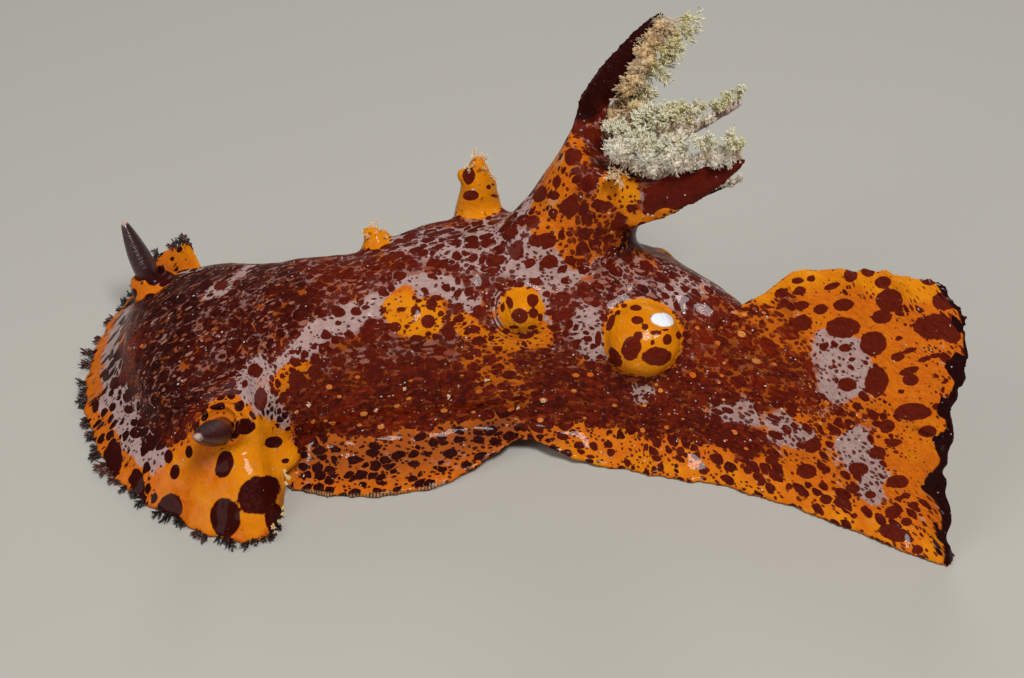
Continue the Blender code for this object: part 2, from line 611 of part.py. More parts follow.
def make_veil():
    """Broad semicircular oral veil in three parts with papillae along its margin."""
    rng = np.random.default_rng(SEED)
    names = ("oral_veil_left", "oral_veil_front", "oral_veil_right")
    marks = np.linspace(FRINGE_SPAN[0], FRINGE_SPAN[1], FRINGE_COUNT)
    around_head = [HEAD_FRONT - 0.25] + head_stations()[1:-1] + [NECK, -28.0]
    around_foot = [FOOT_FRONT - GAP, -39.3, -38.4, -37.0, -35.0, -32.0, -28.5, -24.0]
    for name, first, last in zip(names, VEIL_SPLITS[:-1], VEIL_SPLITS[1:]):
        places = np.linspace(first + VEIL_TRIM, last - VEIL_TRIM, 10)
        points, faces = skin_of([veil_row(k, VEIL_SINK) for k in places])
        pieces = [add_node(name, points, faces, "orange")]
        for k in marks:
            if first + FRINGE_CLEAR < k < last - FRINGE_CLEAR:
                pieces.extend(fringe(rng, k))
        veil = unite(name, pieces, "orange")
        apply_cut(veil, loft("cutter", around_head, body_loop, "flesh", grow=GAP))
        apply_cut(veil, loft("cutter", around_foot, foot_loop, "foot", grow=GAP))


def sheath(name, base, axis, grow=0.0):
    """Low sleeve that the rhinophore stands in."""
    upward = axis + np.array((0.0, 0.0, SHEATH_LEAN))
    return dome(name, base - axis * SHEATH_SINK, upward, SHEATH_RADIUS, SHEATH_HEIGHT, "orange",
                neck=1.0, grow=grow)


def make_rhinophores():
    """Low sheath and tapered rhinophore on each side of the head."""
    part = np.array(HORN_PLACES)
    wide = np.array(HORN_RADIUS)
    sag = np.array((0.0, 0.0, -HORN_SAG)) * (4 * part * (1 - part))[:, None]
    for side, base, tip in RHINOPHORES:
        base = np.array(base)
        tip = np.array(tip)
        axis = (tip - base) / np.linalg.norm(tip - base)
        apply_cut(sheath("sheath_" + side, base, axis), body_cutter(-46.0, -26.0, 16))
        line = base + (tip - base) * part[:, None] + sag
        horn = tube("rhinophore_" + side, line, wide, wide * HORN_FLATNESS, KNOB_SIDES, "dark",
                    across=(0.2, 0.3, 0.9))
        apply_cut(horn, sheath("cutter", base, axis, grow=GAP))


def make_mouth():
    """Muzzle with the upright slit of the mouth, and a small tentacle on each side."""
    wide = np.array(MUZZLE_HALF_WIDTH)
    line = np.array([head_place(f, 0.0, MUZZLE_HEIGHT) for f in MUZZLE_PLACES])
    muzzle = tube("mouth", line, wide, wide * 0.5 + 0.05, 14, "dark")
    slit = [head_place(f, 0.0, z) for f, z in SLIT]
    apply_cut(muzzle, tube("cutter", slit, SLIT_HALF_WIDTH, SLIT_HALF_HEIGHT, 8, "dark"))
    apply_cut(muzzle, body_cutter(-47.0, -34.0, 14))
    around_foot = [FOOT_FRONT - GAP, -39.3, -38.4, -37.0, -35.0, -32.0]
    apply_cut(muzzle, loft("cutter", around_foot, foot_loop, "foot", grow=GAP))
    for side, way in (("left", -1.0), ("right", 1.0)):
        line = []
        for t in TENTACLE_PLACES:
            forward, sideways, height = np.array(TENTACLE_ROOT) + np.array(TENTACLE_RUN) * t
            line.append(head_place(forward, way * sideways, height))
        lobe = tube("oral_tentacle_" + side, line, TENTACLE_HALF_WIDTH, TENTACLE_HALF_HEIGHT, 10,
                    "orange")
        apply_cut(lobe, body_cutter(-47.0, -34.0, 14))


def make_papillae():
    """Globes and pointed lobes along the two mantle ridges."""
    rng = np.random.default_rng(SEED + 1)
    for name, base, axis, radius, height in GLOBES:
        knob = dome(name, base, axis, radius, height, "yellow")
        apply_cut(knob, body_cutter(base[0] - CUT_REACH, base[0] + CUT_REACH, 10))
    for name, base, axis, radius, height in LOBES:
        base = np.array(base)
        axis = np.array(axis) / np.linalg.norm(axis)
        reach = radius * np.array(LOBE_PROFILE)
        line = base + axis * (np.array(LOBE_LEVELS)[:, None] * height)
        pieces = [tube(name, line, reach, reach, KNOB_SIDES, "yellow", across=UPRIGHT_SIDE)]
        root = base + axis * height * BUD_LEVEL
        size = radius * np.array(BUD_RADIUS)
        for angle in BUD_ANGLES:
            upward = 0.9 + rng.uniform(-0.2, 0.2)
            way = np.array((math.cos(angle), 0.4 * math.sin(angle), upward))
            line = root + way * np.array((0.0, 0.5, 1.0))[:, None] * radius * BUD_LENGTH
            pieces.append(tube("bud", line, size, size, 6, "yellow", across=UPRIGHT_SIDE))
        lobe = unite(name, pieces, "yellow")
        apply_cut(lobe, body_cutter(base[0] - CUT_REACH, base[0] + CUT_REACH, 10))


def stalk(name, grow=0.0):
    """Thick stalk that grows out of the back and carries the gill."""
    line = smooth_line(STALK_AXIS, 2)
    spot = np.linspace(0.0, 1.0, len(STALK_AXIS))
    part = np.linspace(0.0, 1.0, len(line))
    wide = along(list(zip(spot, STALK_HALF_LENGTH)), part)
    thick = along(list(zip(spot, STALK_HALF_WIDTH)), part)
    return tube(name, line, wide, thick, 20, "flesh", across=(0.0, 1.0, 0.05), grow=grow)


def gill_leaf(rng, name):
    """Tapering leaf of the gill with branched filaments along its inner edge."""
    wide, thick, count, reach, drift = GILL_SIZES[name]
    leaf_line = bend(GILL_STEMS[name], LEAF_ROWS)
    part = np.linspace(0.0, 1.0, LEAF_ROWS)
    chord = leaf_line[-1] - leaf_line[0]
    steep = abs(chord[2]) > STEEP_RISE
    up = np.array((1.0, 0.2, 0.2) if steep else (0.25, 0.1, 1.0))
    flat = np.cross(chord, up)
    half_wide = 0.5 * wide * (1 - part) ** LEAF_TAPER + LEAF_TIP
    half_thick = 0.5 * thick * (1 - 0.6 * part) + 0.1
    leaf = tube(name, leaf_line, half_wide, half_thick, 8, "dark", across=flat)
    pieces = [leaf]
    slope = np.gradient(leaf_line, axis=0)
    for i in range(count):
        at = FIRST_FILAMENT + (1 - FIRST_FILAMENT) * (i + 0.5) / count
        root = np.array([np.interp(at, part, leaf_line[:, c]) for c in range(3)])
        ahead = np.array([np.interp(at, part, slope[:, c]) for c in range(3)])
        ahead /= np.linalg.norm(ahead)
        flank = np.cross(ahead, up)
        flank /= np.linalg.norm(flank)
        rise = np.cross(flank, ahead)
        edge = np.interp(at, part, half_wide)
        lean = drift + (1 if i % 2 else -1) * rng.uniform(0.2, 0.6)
        way = rise * rng.uniform(0.75, 1.0) + ahead * rng.uniform(0.15, 0.5) + flank * lean
        way /= np.linalg.norm(way)
        long = reach * rng.uniform(0.8, 1.15) * (1 - 0.45 * at)
        start = root + rise * max(edge - FILAMENT_SINK, 0.0)
        curl = ahead * 0.25 * long
        path = bend((start, start + way * long * 0.55, start + way * long + curl), 3)
        pieces.append(tube("filament", path, FILAMENT_WIDTH, FILAMENT_THICK, 4, "pale",
                           across=flank))
        if i % 3 == 2:
            continue
        spread = rng.choice((-1.0, 1.0))
        twig = way * 0.6 + flank * spread * 0.9 + ahead * rng.uniform(-0.3, 0.5)
        twig /= np.linalg.norm(twig)
        line = path[1] + twig * np.array((0.0, 1.0))[:, None] * long * rng.uniform(0.36, 0.5)
        pieces.append(tube("twig", line, TWIG_WIDTH, TWIG_THICK, 4, "pale", across=ahead))
    return unite(name, pieces, "pale")


def make_gill():
    """Stalk and five leaves with branched filaments."""
    rng = np.random.default_rng(SEED + 2)
    post = stalk("gill_stalk")
    apply_cut(post, body_cutter(WAIST_SPLIT + GAP, TAIL_SPLIT - GAP, 12))
    for name in GILL_STEMS:
        apply_cut(gill_leaf(rng, name), stalk("cutter", grow=GAP))


for item in list(bpy.data.objects):
    bpy.data.objects.remove(item)
make_body()
make_foot()
make_veil()
make_rhinophores()
make_mouth()
make_papillae()
make_gill()
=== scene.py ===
"""Tiles sea slug in the pose of the photo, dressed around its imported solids.

Lengths in the constants are millimetres in the design axes of the solids: head to -X, left
side to -Y, ground at z = 0. A place on the body is u (the x of the foot's midline), w
(sideways, plus to the right) and z. Finished meshes are in metres in the row frame.
"""

import math

import bpy
import numpy as np
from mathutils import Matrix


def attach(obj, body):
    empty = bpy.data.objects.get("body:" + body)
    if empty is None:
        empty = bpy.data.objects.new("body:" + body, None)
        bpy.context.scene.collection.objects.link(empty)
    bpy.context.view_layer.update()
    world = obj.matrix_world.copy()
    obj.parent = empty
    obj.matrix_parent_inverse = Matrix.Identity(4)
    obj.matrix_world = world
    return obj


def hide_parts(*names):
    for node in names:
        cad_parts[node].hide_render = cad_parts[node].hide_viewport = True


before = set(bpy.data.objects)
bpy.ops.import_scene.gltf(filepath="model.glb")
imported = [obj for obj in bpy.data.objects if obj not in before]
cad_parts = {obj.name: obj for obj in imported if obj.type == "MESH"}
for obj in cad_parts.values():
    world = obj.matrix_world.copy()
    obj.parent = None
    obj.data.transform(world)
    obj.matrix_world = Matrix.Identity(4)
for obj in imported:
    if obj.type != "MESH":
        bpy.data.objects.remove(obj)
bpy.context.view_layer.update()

MM = 0.001
SEED = 41
BOX_MIDDLE = np.array((-2.883, -5.744, 0.0))

# Foot midline, and the way each cross-section is turned, in degrees
MIDLINE = ((-47, -7.5), (-44, -6.0), (-40, -4.0), (-36, -2.6), (-32, -1.9), (-26, -1.9),
           (-20, -2.4), (-10, -1.6), (0, -0.8), (8, -0.9), (15, -1.9), (22, -4.6),
           (30, -10.0), (37.4, -16.8), (45.2, -23.2), (49, -26.7), (50.6, -29.3))
FRONT_OF_MIDLINE = ((-60, -14.1),)
TURN = ((-47, 27), (-38, 27), (-33, 17), (-27, 5), (-20, 0), (5, 0), (15, -7), (24, -22),
        (30, -29), (51, -29))
HEAD_FRONT = -46.1
FOOT_FRONT = -39.8
TAIL_TIP = 50.6

# Upper body: pedal groove, half widths at the groove, mantle ridges and crown of the back
GROOVE_Z = ((-47, 4.0), (-34, 3.8), (-20, 3.5), (15, 3.5), (30, 3.0), (50.6, 2.2))
WAIST_NEAR = ((-46.1, 3.0), (-45.2, 8.5), (-43.4, 13.0), (-40.9, 16.0), (-38, 16.8),
              (-35, 16.0), (-32, 14.3), (-28, 12.5), (-19, 9.5), (-10, 9.0), (0, 8.5),
              (8, 9.0), (15, 9.5), (22, 8.0), (28, 6.0), (37.4, 3.2), (45.2, 1.8), (50.6, -0.1))
WAIST_FAR = ((-46.1, 3.0), (-45.2, 8.5), (-43.4, 13.0), (-40.9, 16.0), (-38, 16.8),
             (-35, 15.6), (-32, 13.5), (-28, 11.5), (-19, 9.5), (-10, 10.0), (0, 10.5),
             (8, 10.8), (15, 10.0), (22, 7.5), (28, 5.4), (37.4, 3.5), (45.2, 1.7), (50.6, 1.2))
RIDGE_NEAR = ((-46.1, -2.4), (-44.5, -9.0), (-42, -12.8), (-38, -15.0), (-34, -14.0),
              (-28, -11.0), (-19, -6.1), (-10, -5.6), (0, -6.0), (8, -6.1), (15, -5.6),
              (22, -4.3), (28, -1.6), (37.4, 1.9), (45.2, 3.6), (50.6, 6.4))
RIDGE_NEAR_Z = ((-46.1, 7.4), (-44.5, 8.2), (-42, 9.0), (-38, 9.8), (-34, 11.5), (-28, 14.5),
                (-19, 17.5), (-10, 18.0), (0, 18.5), (8, 18.0), (15, 16.0), (22, 14.5),
                (28, 14.0), (37.4, 13.5), (50.6, 13.5))
RIDGE_FAR = ((-46.1, 2.4), (-44.5, 9.0), (-42, 13.0), (-38, 15.0), (-34, 12.0), (-28, 6.8),
             (-19, 5.6), (-10, 8.6), (0, 9.3), (8, 9.6), (15, 8.6), (22, 6.2), (28, 4.8),
             (37.4, 5.2), (45.2, 5.4), (50.6, 7.6))
RIDGE_FAR_Z = ((-46.1, 7.4), (-44.5, 8.2), (-42, 9.0), (-38, 10.0), (-34, 12.5), (-28, 16.6),
               (-19, 19.4), (-10, 20.8), (0, 21.4), (8, 20.5), (15, 18.0), (22, 16.5),
               (28, 14.8), (37.4, 13.6), (50.6, 13.5))
CROWN = ((-46.1, 0.0), (-34, -0.5), (-19, 0.5), (0, 2.0), (15, 1.8), (22, 1.6), (28, 2.0),
         (37.4, 4.2), (45.2, 4.9), (50.6, 7.5))
CROWN_Z = ((-46.1, 8.0), (-44.5, 9.6), (-42, 11.4), (-38, 13.6), (-34, 15.3), (-28, 18.0),
           (-19, 20.8), (-10, 22.6), (0, 23.6), (8, 23.6), (15, 21.4), (22, 19.2), (28, 17.0),
           (37.4, 15.5), (50.6, 15.0))
PLUMP = 0.9

# Bumps of the large globe: angle around it, share of its height, share of its radius
BUMPS = ((-0.35, 0.30, 0.30), (0.20, 0.34, 0.30), (0.75, 0.24, 0.26))

# Foot: reach of the margin on each side and lift of the near margin
FOOT_NEAR = ((-39.8, 3.0), (-38.6, 7.6), (-36, 11.5), (-32, 15.0), (-27, 17.2), (-14, 17.6),
             (-10, 17.2), (-5, 15.3), (-1.5, 13.2), (1.6, 12.2), (4.5, 12.9), (8.3, 13.8),
             (15, 13.7), (22, 12.8), (30, 9.5), (37.4, 6.3), (45.2, 4.4), (49, 3.0), (50.6, 1.2))
FOOT_FAR = ((-39.8, 3.0), (-38.6, 7.4), (-36, 10.5), (-32, 12.2), (-27, 13.0), (-10, 13.4),
            (8, 13.4), (15, 12.4), (22, 10.2), (30, 7.4), (37.4, 5.0), (45.2, 2.9), (50.6, 0.9))
FOOT_LIFT = ((-12, 0.0), (-6, 0.4), (-2, 1.4), (1.6, 2.3), (4.5, 1.8), (8, 0.7), (12, 0.0))
EDGE_THICK = 0.8
WAIST_SHARE = 0.72
FUSE = 0.5

# Tail paddle: slope of its near face, rear margin against height, crest height and thickness
PADDLE_SLOPE = 0.55
REAR_MARGIN = ((0, 7.7), (2.7, 5.8), (7.9, 2.9), (14.1, 2.2), (21.9, 1.4), (24.4, 0.1),
               (26.4, -2.7), (27.3, -4.7))
MARGIN_START = 33.0
CREST_START = 24.6
CREST_TOP = ((24.6, 18.4), (26.0, 19.6), (28.0, 21.5), (29.5, 23.9), (31.5, 25.1), (35.6, 25.9),
             (41, 26.7), (50.6, 27.2))
CREST_ROOT_THICK = ((24.6, 2.2), (37.4, 2.4), (50.6, 1.2))
CREST_EDGE_THICK = 0.9

# Oral veil in the head's own axes: forward, sideways and height of the margin, then the root
HEAD_MIDDLE = np.array((-40.0, -4.0))
HEAD_TURN = math.radians(27.0)
VEIL_ROOT_RISE = ((0, 7.6), (1.5, 8.4), (4, 10.2), (6.5, 9.6), (9, 10.6), (11.5, 9.6), (13, 9.4))
VEIL_ROOT_BOTTOM = 4.4
VEIL_EDGE = ((-5.8, -18.7, 4.6), (-2.9, -23.2, 0.8), (0.2, -25.1, 0.7), (4.7, -22.5, 0.7),
             (8.6, -16.6, 0.7), (12.2, -10.0, 0.7), (13.4, -3.4, 0.7), (13.3, 3.4, 0.7),
             (11.7, 10.0, 0.7), (9.0, 16.0, 0.7), (5.6, 20.6, 0.9), (1.0, 22.6, 3.4),
             (-3.4, 21.8, 9.0), (-7.0, 18.8, 11.6))
VEIL_ROOT = ((-6.6, -15.4), (-4.6, -16.3), (-2.0, -16.8), (1.0, -16.0), (3.8, -13.0),
             (5.8, -8.5), (6.8, -2.6), (6.8, 2.6), (5.8, 8.5), (3.8, 13.0), (1.0, 16.0),
             (-2.0, 16.8), (-4.6, 16.4), (-7.0, 15.0))
VEIL_SINK = 3.0
NEAR_CORNER = (-5.6, -15.9, 3.6)

# Small forms on the head and back
RHINOPHORES = {"left": ((-33.3, -16.6, 9.4), (-34.6, -23.4, 14.6)),
               "right": ((-46.3, 9.2, 9.2), (-49.4, 12.2, 17.2))}
GLOBES = (((-12.0, -6.0, 16.2), (-0.1, -0.6, 0.8), 3.4, 2.4),
          ((1.1, -6.1, 17.3), (0.0, -0.45, 0.9), 2.5, 3.7),
          ((15.3, -7.4, 14.1), (0.0, -0.55, 0.84), 4.5, 5.4),
          ((18.2, 7.6, 11.6), (0.1, 0.9, 0.42), 3.0, 4.2))
LOBES = (((-16.4, 3.6, 19.4), (-0.1, 0.3, 0.95), 2.1, 2.8),
         ((-4.1, 8.6, 19.8), (-0.01, 0.05, 1.0), 3.2, 9.4))

# Gill stalk, and root, middle and tip of the stem of each leaf
STALK_AXIS = ((4.8, 1.2, 14.0), (6.6, 2.0, 20.4), (8.6, 2.8, 25.6), (10.4, 3.0, 30.2),
              (11.8, 3.2, 33.6))
STALK_HALF_LENGTH = (14.0, 9.4, 6.9, 6.3, 5.8)
STALK_HALF_WIDTH = (7.2, 6.2, 5.4, 5.4, 5.0)
GILL_STEMS = {"gill_1": ((8.2, 4.6, 29.6), (8.0, 7.0, 39.8), (17.1, 11.9, 46.9)),
              "gill_2": ((11.6, -0.8, 29.9), (18.4, -4.0, 32.4), (25.4, -4.4, 38.2)),
              "gill_3": ((13.6, 2.2, 29.2), (19.6, 2.6, 27.4), (26.8, 2.8, 30.6)),
              "gill_4": ((12.6, 6.0, 30.6), (19.0, 9.4, 31.2), (27.4, 12.0, 34.8)),
              "gill_5": ((11.4, 1.6, 31.4), (14.2, 1.8, 36.2), (20.4, 3.2, 37.8))}
# For each leaf: width and thickness at the root, plumes along it, their reach, lean and size
GILL_SIZES = {"gill_1": (6.2, 1.4, 33, 6.0, 0.1, 1.60), "gill_2": (6.9, 1.3, 25, 4.6, 0.0, 1.35),
              "gill_3": (4.4, 1.3, 14, 2.8, 0.0, 0.95), "gill_4": (2.4, 1.1, 18, 3.6, 0.0, 1.05),
              "gill_5": (2.8, 1.1, 19, 4.2, 0.0, 1.20)}
# Which plumes are open clusters (every second, third or fifth), how tan the full ones are,
# and how yellow-green the tips of the full ones are
GILL_OPEN = {"gill_1": 3, "gill_2": 5, "gill_3": 5, "gill_4": 2, "gill_5": 2}
GILL_WARM = {"gill_1": 0.75, "gill_2": 0.15, "gill_3": 0.2, "gill_4": 0.4, "gill_5": 0.3}
GILL_GREEN = {"gill_1": 0.35, "gill_2": 0.0, "gill_3": 0.0, "gill_4": 0.35, "gill_5": 0.7}
# How black the outer face of a leaf is, against maroon; the last two are pale throughout
GILL_BLACK = {"gill_1": 1.0, "gill_2": 0.30, "gill_3": 0.8}
# Where the plumes of a leaf stand on its blade: 0 at the middle line, 1 at the upper edge
GILL_CLIMB = {"gill_1": 0.95, "gill_2": 1.60, "gill_3": 0.75, "gill_4": 0.75, "gill_5": 0.75}
# Plumes that rise out of the cup of the stalk: number, ends of their row of roots, their way
COLLAR_COUNT = 8
COLLAR = np.array(((12.0, 0.6, 32.8), (17.0, -0.2, 32.4), (0.20, -0.25, 1.0)))
# Lobes and rays of a full tuft
TUFT_LOBES = 10
TUFT_RAYS = 58
# Level that no tuft passes, and the rise of its stem from which a leaf counts as upright
PLUME_CEILING = 47.2
STEEP_RISE = 12.0

# Edge of the remesh cells that the skin is made with
SKIN_VOXEL = 0.39

# Width of a tuft's patch on its UV map
PATCH = 0.003


def along(pairs, x):
    """Curve through (x, value) pairs: cubic Hermite pieces whose slopes are harmonic means."""
    px, py = np.array(pairs, float).T
    step = np.diff(px)
    rise = np.diff(py) / step
    both = rise[:-1] * rise[1:]
    mean = 2.0 * both / np.where(both > 0, rise[:-1] + rise[1:], 1.0)
    slope = np.concatenate((rise[:1], np.where(both > 0, mean, 0.0), rise[-1:]))
    x = np.clip(np.asarray(x, float), px[0], px[-1])
    i = np.clip(np.searchsorted(px, x, side="right") - 1, 0, len(step) - 1)
    t = (x - px[i]) / step[i]
    a = py[i] * (1 + 2 * t) * (1 - t) ** 2 + py[i + 1] * t * t * (3 - 2 * t)
    return a + step[i] * (slope[i] * t * (1 - t) ** 2 + slope[i + 1] * t * t * (t - 1))


def smooth_rows(control, per_span):
    """Catmull-Rom curve through the control points of each row, per_span steps a span."""
    head = 2 * control[..., :1, :] - control[..., 1:2, :]
    tail = 2 * control[..., -1:, :] - control[..., -2:-1, :]
    p = np.concatenate((head, control, tail), axis=-2)
    a, b = p[..., :-3, None, :], p[..., 1:-2, None, :]
    c, d = p[..., 2:-1, None, :], p[..., 3:, None, :]
    t = (np.arange(per_span) / per_span)[:, None]
    curve = 2 * b + (c - a) * t + (2 * a - 5 * b + 4 * c - d) * t ** 2
    curve = 0.5 * (curve + (3 * b - a - 3 * c + d) * t ** 3)
    curve = curve.reshape(*control.shape[:-2], -1, control.shape[-1])
    return np.concatenate((curve, control[..., -1:, :]), axis=-2)


def place(u, w, z, midline=MIDLINE):
    """Point (u, w, z) of the body: w along the turned cross-section, tail end sheared by z."""
    turn = np.radians(along(TURN, u))
    rear = np.clip((u - MARGIN_START) / (TAIL_TIP - MARGIN_START), 0.0, 1.0)
    shift = (along(REAR_MARGIN, z) - REAR_MARGIN[0][1]) * rear
    x = u - np.sin(turn) * w + np.cos(turn) * shift
    y = along(midline, u) + np.cos(turn) * w + np.sin(turn) * shift
    return np.stack(np.broadcast_arrays(x, y, z), axis=-1)


def body_coordinates(points):
    """The u and w of points: the mismatch to place(u, w, z) is taken off again and again."""
    u = points[:, 0].copy()
    w = points[:, 1].copy()
    for _ in range(40):
        miss = points - place(u, w, points[:, 2], FRONT_OF_MIDLINE + MIDLINE)
        turn = np.radians(along(TURN, u))
        w += miss[:, 1] * np.cos(turn) - miss[:, 0] * np.sin(turn)
        u += 0.7 * (miss[:, 0] * np.cos(turn) + miss[:, 1] * np.sin(turn))
    return u, w


def head_place(forward, sideways, z):
    """Point in the head's own axes, turned by HEAD_TURN about the head's middle."""
    x = HEAD_MIDDLE[0] - math.cos(HEAD_TURN) * forward - math.sin(HEAD_TURN) * sideways
    y = HEAD_MIDDLE[1] - math.sin(HEAD_TURN) * forward + math.cos(HEAD_TURN) * sideways
    return np.stack(np.broadcast_arrays(x, y, z), axis=-1)


def head_coordinates(points):
    """Forward and sideways of points in the head's own axes."""
    x, y = (points[:, :2] - HEAD_MIDDLE).T
    forward = -math.cos(HEAD_TURN) * x - math.sin(HEAD_TURN) * y
    return forward, -math.sin(HEAD_TURN) * x + math.cos(HEAD_TURN) * y


def unit(vectors):
    """Vectors scaled to length one."""
    return vectors / (np.linalg.norm(vectors, axis=-1, keepdims=True) + 1e-9)


def ease(x):
    """Smooth step from 0 to 1: 3t2 - 2t3 of x held between 0 and 1."""
    t = np.clip(x, 0.0, 1.0)
    return t * t * (3 - 2 * t)


def ripples(points, wavelength, seed, count=24):
    """Soft noise between about -1 and 1: mean of sines in random directions."""
    rng = np.random.default_rng(seed)
    ways = unit(rng.normal(size=(count, 3))) * 2 * math.pi / wavelength
    ways *= rng.uniform(0.6, 1.5, (count, 1))
    return np.sin(points @ ways.T + rng.uniform(0, 2 * math.pi, count)).mean(1) * 3.0


def shells(rings):
    """Closed surfaces through stacks of rings (piece, ring, around, xyz).

    Quads join neighbouring rings, and a fan to the ring's middle closes both ends."""
    pieces, count, around = rings.shape[:3]
    ends = np.stack((rings[:, 0].mean(1), rings[:, -1].mean(1)), 1)
    points = np.concatenate((rings.reshape(pieces, -1, 3), ends), 1)
    i, j = np.meshgrid(np.arange(count - 1), np.arange(around), indexing="ij")
    a, b = i * around + j, i * around + (j + 1) % around
    quads = np.stack((a, b, b + around, a + around), -1).reshape(-1, 4)
    j = np.arange(around)
    k = (j + 1) % around
    middle = np.full(around, count * around)
    foot = np.stack((middle, k, j), -1)
    tip = np.stack((middle + 1, (count - 1) * around + j, (count - 1) * around + k), -1)
    step = (np.arange(pieces) * (count * around + 2))[:, None, None]
    quads = (quads[None] + step).reshape(-1, 4)
    fans = (np.concatenate((foot, tip))[None] + step).reshape(-1, 3)
    return points.reshape(-1, 3), quads, fans


def joined(parts):
    """Several surfaces as one list of points, quads and triangles."""
    starts = np.cumsum([0] + [len(p[0]) for p in parts[:-1]])
    points = np.concatenate([p[0] for p in parts])
    quads = np.concatenate([p[1] + s for p, s in zip(parts, starts)])
    fans = np.concatenate([p[2] + s for p, s in zip(parts, starts)])
    return points, quads, fans


def volume(points, quads, fans):
    """Signed room inside a closed surface: sum of a . (b x c) / 6 over its triangles."""
    tris = np.concatenate((quads[:, :3], quads[:, (0, 2, 3)], fans))
    a, b, c = (points[tris[:, i]] for i in range(3))
    return np.einsum("ij,ij->i", a, np.cross(b, c)).sum() / 6.0


def linked(name, data):
    """New object around the data, in the scene."""
    thing = bpy.data.objects.new(name, data)
    bpy.context.scene.collection.objects.link(thing)
    return thing


def mesh_object(name, points, quads, fans):
    """Object with its faces turned outwards by the sign of their volume."""
    if volume(points, quads, fans) < 0:
        quads = quads[:, ::-1]
        fans = fans[:, ::-1]
    mesh = bpy.data.meshes.new(name)
    mesh.from_pydata(points, [], quads.tolist() + fans.tolist())
    mesh.shade_smooth()
    return linked(name, mesh)


def patches(thing, points, ends, sizes, spots):
    """UV map OFBake: each tuft is a small patch, its own points seen sideways, at its spot."""
    nearest = np.concatenate([np.linalg.norm(part[:, None] - ends[None], axis=2).argmin(1)
                              for part in np.array_split(points, 8)])
    local = (points - ends[nearest]) / sizes[nearest][:, None]
    flat = np.stack((local[:, 0] + 0.3 * local[:, 1], local[:, 2] + 0.3 * local[:, 1]), 1)
    flat = spots[nearest] + PATCH * 0.5 * np.clip(flat, -1.5, 1.5)
    corners = np.empty(len(thing.data.loops), int)
    thing.data.loops.foreach_get("vertex_index", corners)
    layer = thing.data.uv_layers.new(name="OFBake")
    layer.data.foreach_set("uv", flat[corners].astype(np.float32).ravel())


def finished(name, surface, material, values, nodes):
    """Piece in the row frame, with its values per point, in place of its CAD nodes."""
    points, quads, fans = surface
    thing = mesh_object(name, (points - BOX_MIDDLE) * MM, quads, fans)
    for key, value in values.items():
        flat = value.ndim == 1
        kind = "FLOAT" if flat else "FLOAT_VECTOR"
        layer = thing.data.attributes.new(key, kind, "POINT")
        layer.data.foreach_set("value" if flat else "vector", value.astype(np.float32).ravel())
    thing.data.materials.append(material)
    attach(thing, "root")
    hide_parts(*nodes)
    return thing


# Flesh surfaces that grow together into one skin

def upper_body():
    """Head to tail: cross-sections through groove, flanks, ridges and crown, along u."""
    u = HEAD_FRONT + (TAIL_TIP - HEAD_FRONT) * np.linspace(0, 1, 260) ** 1.25
    groove = along(GROOVE_Z, u)
    left = np.stack((-along(WAIST_NEAR, u), groove), -1)
    right = np.stack((along(WAIST_FAR, u), groove), -1)
    left_ridge = np.stack((along(RIDGE_NEAR, u), along(RIDGE_NEAR_Z, u)), -1)
    right_ridge = np.stack((along(RIDGE_FAR, u), along(RIDGE_FAR_Z, u)), -1)
    crown = np.stack((along(CROWN, u), along(CROWN_Z, u)), -1)
    plump = PLUMP * np.clip((32.0 - u) / 8.0, 0.25, 1.0) * np.clip((u + 46.0) / 8.0, 0.0, 1.0)
    out = np.stack((plump, 0 * u), -1)
    up = np.array((0.0, 0.3))
    back = np.array((0.48, 0.70))
    control = [left, left + (left_ridge - left) * 0.32 - out,
               left + (left_ridge - left) * 0.70 - out + up, left_ridge,
               left_ridge + (crown - left_ridge) * back, crown,
               right_ridge + (crown - right_ridge) * back, right_ridge,
               right + (right_ridge - right) * 0.70 + out + up,
               right + (right_ridge - right) * 0.32 + out, right]
    loop = smooth_rows(np.stack(control, 1), 7)
    return shells(place(u[:, None], loop[..., 0], loop[..., 1])[None])


def foot_margin(u, reach, side):
    """Reach of the foot's margin with shallow frills, a sum of two sines of u."""
    frill = 0.14 * np.sin(u * 0.9 + side) + 0.09 * np.sin(u * 2.1 + 2.0 * side)
    return along(reach, u) - (0.35 + frill) * np.clip((48.0 - u) / 8.0, 0.1, 1.0) * ease(
        (along(reach, u) - 1.0) / 4.0)


